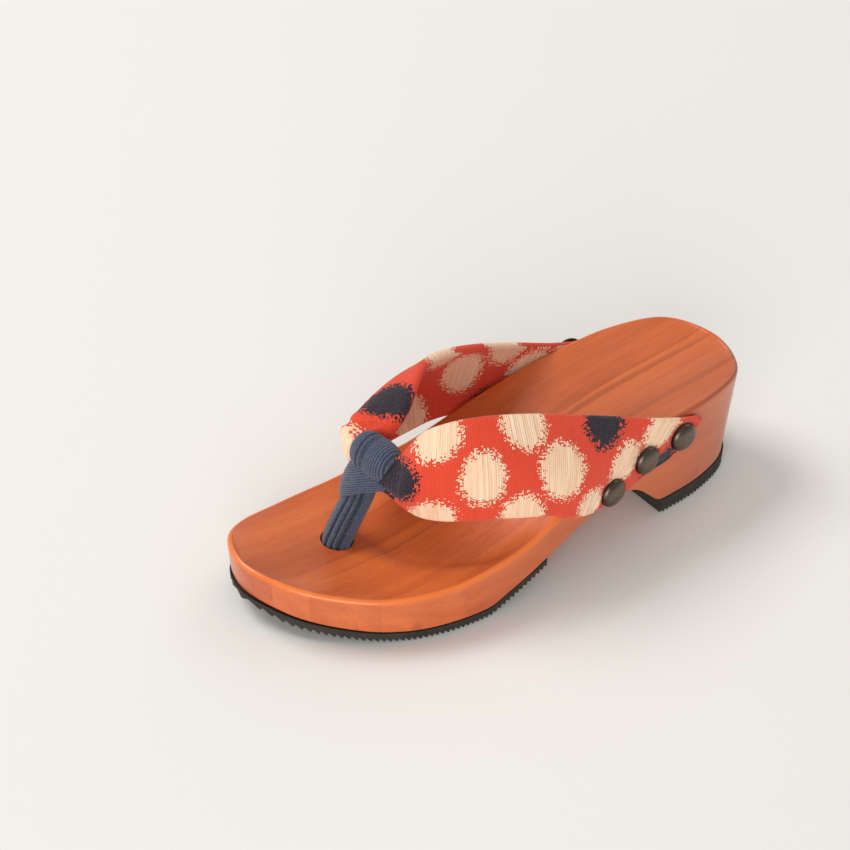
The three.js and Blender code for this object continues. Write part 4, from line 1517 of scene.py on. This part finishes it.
@dataclass
class Tacks:
    """The domed tacks: one is turned up and the rest are copies of it."""

    last: Last
    radius: float = 6.7
    height: float = 3.8
    rim: float = 0.8
    shank_radius: float = 1.2
    shank_length: float = 11.0
    tip: float = 0.01
    sides: int = 64
    dome_steps: int = 16
    bearing_step: float = 3.0
    crease: float = 50.0
    press: tuple[float, ...] = (0.9, 1.1, 0.5)  # how far each head is driven into the cloth

    def _profile(self) -> list[tuple[float, float]]:
        """The outline from the shank's foot to the dome's top: radius and height."""
        rows = [
            (self.shank_radius * 0.3, -self.shank_length),
            (self.shank_radius, 1.5 - self.shank_length),
            (self.shank_radius, 0.0),
            (self.radius - 1.2, 0.0),
            (self.radius - 0.15, 0.05),
            (self.radius, 0.3),
            (self.radius - 0.05, 0.6),
        ]
        for k in range(1, self.dome_steps):
            angle = math.pi / 2 * k / self.dome_steps
            rise = (self.height - self.rim) * math.sin(angle)
            rows.append(((self.radius - 0.2) * math.cos(angle), self.rim + rise))
        return rows

    def _turned(self) -> bpy.types.Object:
        """Turns up one tack along +Z by extruding and resizing rings."""
        rows = self._profile()
        deselect()
        bpy.ops.mesh.primitive_circle_add(
            vertices=self.sides,
            radius=rows[0][0] * MM,
            fill_type="NGON",
            location=(0.0, 0.0, rows[0][1] * MM),
        )
        tack = bpy.context.object
        bpy.ops.object.transform_apply(location=True, rotation=True, scale=True)
        bpy.ops.object.mode_set(mode="EDIT")
        bpy.ops.mesh.select_all(action="SELECT")
        for (before, low), (after, high) in zip(rows, rows[1:]):
            bpy.ops.mesh.extrude_region_move(
                TRANSFORM_OT_translate={"value": (0.0, 0.0, (high - low) * MM)}
            )
            share, middle = after / before, (0.0, 0.0, high * MM)
            bpy.ops.transform.resize(value=(share, share, 1.0), center_override=middle)
        tip = (0.0, 0.0, self.tip * MM)
        bpy.ops.mesh.extrude_region_move(TRANSFORM_OT_translate={"value": tip})
        bpy.ops.mesh.merge(type="CENTER")
        bpy.ops.object.mode_set(mode="OBJECT")
        close_up(tack)
        mesh = tack.data
        co = np.zeros(len(mesh.vertices) * 3, np.float32)
        mesh.vertices.foreach_get("co", co)
        crown = mesh.attributes.new("crown", "FLOAT", "POINT")
        high = co.reshape(-1, 3)[:, 2] / (self.height * MM)
        crown.data.foreach_set("value", np.clip(high, 0.0, 1.0).astype(np.float32))
        return tack

    def _seat(self, node: str, side: int, y: float, press: float) -> tuple[Vector, float]:
        """Where a tack's head sits and the bearing that it faces, from its solid's box."""
        step = self.bearing_step
        ahead = self.last.edge(y + step, side) - self.last.edge(y - step, side)
        slope = float(ahead) / (2 * step)
        direction = Vector((side, -slope * side, 0.0)).normalized()
        bearing = math.atan2(direction.y, direction.x)
        low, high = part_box(node)
        top_x = high.x if side > 0 else low.x
        wall = Vector(self.last.metres(np.array([float(self.last.edge(y, side)), y, 0.0])))
        reach = (top_x - wall.x) / direction.x - (self.height + press) * MM
        seat = wall + direction * reach
        seat.z = (low.z + high.z) / 2
        return seat, bearing

    def build(self, finish: bpy.types.Material) -> list[bpy.types.Object]:
        """Makes the six tacks.

        Args:
            finish: the tacks' material.

        Returns:
            The pieces, each standing for its solid.
        """
        model = self._turned()
        made = []
        for side_name, side in (("lateral", 1), ("medial", -1)):
            for i, (y, _) in enumerate(TACK_PLACES):
                node = f"tack_{side_name}_{i + 1}"
                seat, bearing = self._seat(node, side, y, self.press[i])
                copy = bpy.data.objects.new(f"{node}_head", model.data.copy())
                bpy.context.scene.collection.objects.link(copy)
                turn = Matrix.Rotation(bearing, 4, "Z") @ Matrix.Rotation(math.pi / 2, 4, "Y")
                copy.data.transform(Matrix.Translation(seat) @ turn)
                smooth(copy, self.crease)
                made.append(hand_over(copy, finish, "tack_metal", node))
        bpy.data.objects.remove(model)
        return made


# ------------------------------------------------------------------ studio


@dataclass(frozen=True)
class SoftLight:
    """A square soft light that faces the object."""

    name: str
    place: Point
    size: float
    watts: float
    colour: Point

    def hang(self, target: Point) -> None:
        """Hangs the light so that it faces a point."""
        data = bpy.data.lights.new(self.name, "AREA")
        data.size, data.energy, data.color = self.size, self.watts, self.colour
        light = bpy.data.objects.new(self.name, data)
        bpy.context.scene.collection.objects.link(light)
        light.location = self.place
        light.rotation_mode = "QUATERNION"
        ahead = Vector(target) - Vector(self.place)
        light.rotation_quaternion = ahead.to_track_quat("-Z", "Y")


@dataclass
class Studio:
    """The camera, the pale floor and the soft lights."""

    azimuth: float = 51.24
    elevation: float = 38.11
    roll: float = 1.33
    place: Point = (0.7043, -0.6060, 0.7840)
    lens: float = 118.2
    sensor: float = 36.0
    floor_size: float = 14.0
    target: Point = (0.0, 0.0, 0.03)
    lights: tuple[SoftLight, ...] = (
        SoftLight("key", (-2.0, -1.1, 2.8), 1.7, 72.0, (1.0, 0.975, 0.94)),
        SoftLight("fill", (2.3, -2.5, 1.0), 2.2, 78.0, (1.0, 0.97, 0.93)),
        SoftLight("back", (-0.6, 2.8, 2.2), 2.2, 16.0, (1.0, 0.98, 0.95)),
    )
    air: Point = (0.93, 0.92, 0.89)
    air_strength: float = 0.47

    def _camera(self) -> None:
        """Stands the camera at the object's front outer side, a little rolled."""
        a, e, r = (math.radians(v) for v in (self.azimuth, self.elevation, self.roll))
        back = Vector((math.sin(a) * math.cos(e), -math.cos(a) * math.cos(e), math.sin(e)))
        right = Vector((math.cos(a), math.sin(a), 0.0))
        up = back.cross(right)
        rolled_right = right * math.cos(r) + up * math.sin(r)
        rolled_up = up * math.cos(r) - right * math.sin(r)
        data = bpy.data.cameras.new("camera")
        data.lens = self.lens
        data.sensor_width = self.sensor
        camera = bpy.data.objects.new("camera", data)
        bpy.context.scene.collection.objects.link(camera)
        turn = Matrix((rolled_right, rolled_up, back)).transposed().to_4x4()
        camera.matrix_world = Matrix.Translation(Vector(self.place)) @ turn
        bpy.context.scene.camera = camera

    def build(self) -> None:
        """Sets the studio up."""
        self._camera()
        deselect()
        bpy.ops.mesh.primitive_grid_add(x_subdivisions=8, y_subdivisions=8, size=self.floor_size)
        floor = bpy.context.object
        floor.name = "floor"
        floor.data.materials.append(PaleFloor().build())
        for light in self.lights:
            light.hang(self.target)
        world = bpy.data.worlds.new("studio_air")
        world.use_nodes = True
        air = world.node_tree.nodes["Background"]
        air.inputs["Color"].default_value = (*self.air, 1.0)
        air.inputs["Strength"].default_value = self.air_strength
        bpy.context.scene.world = world
        bpy.context.scene.view_settings.view_transform = "Standard"


def main() -> None:
    """Builds the sandal's pieces in order."""
    logging.basicConfig(level=logging.INFO, format="%(name)s %(message)s")
    Studio().build()
    last = Last()
    LOG.info("shift of the tables: %s mm", np.round(last.shift, 3))
    WoodenBase(last).build(LacqueredWood().build())
    rubber = TreadRubber().build()
    TreadedRubber(last, "forefoot_tread", "forefoot_outsole", FOREFOOT_Y).build(rubber)
    TreadedRubber(last, "heel_tread", "heel_tip", HEEL_Y).build(rubber)
    cotton = PrintedCotton().build()
    lateral = (LATERAL_ROWS, LATERAL_SPOTS, LATERAL_GATHERS)
    medial = (MEDIAL_ROWS, MEDIAL_SPOTS, MEDIAL_GATHERS)
    Strap(last, "lateral_strap", 1, *lateral).build(cotton)
    Strap(last, "medial_strap", -1, *medial).build(cotton)
    CordKnot(last).build(NavyTwill().build())
    Tacks(last).build(AntiqueTackMetal().build())
    deselect()


if __name__ == "__main__":
    main()
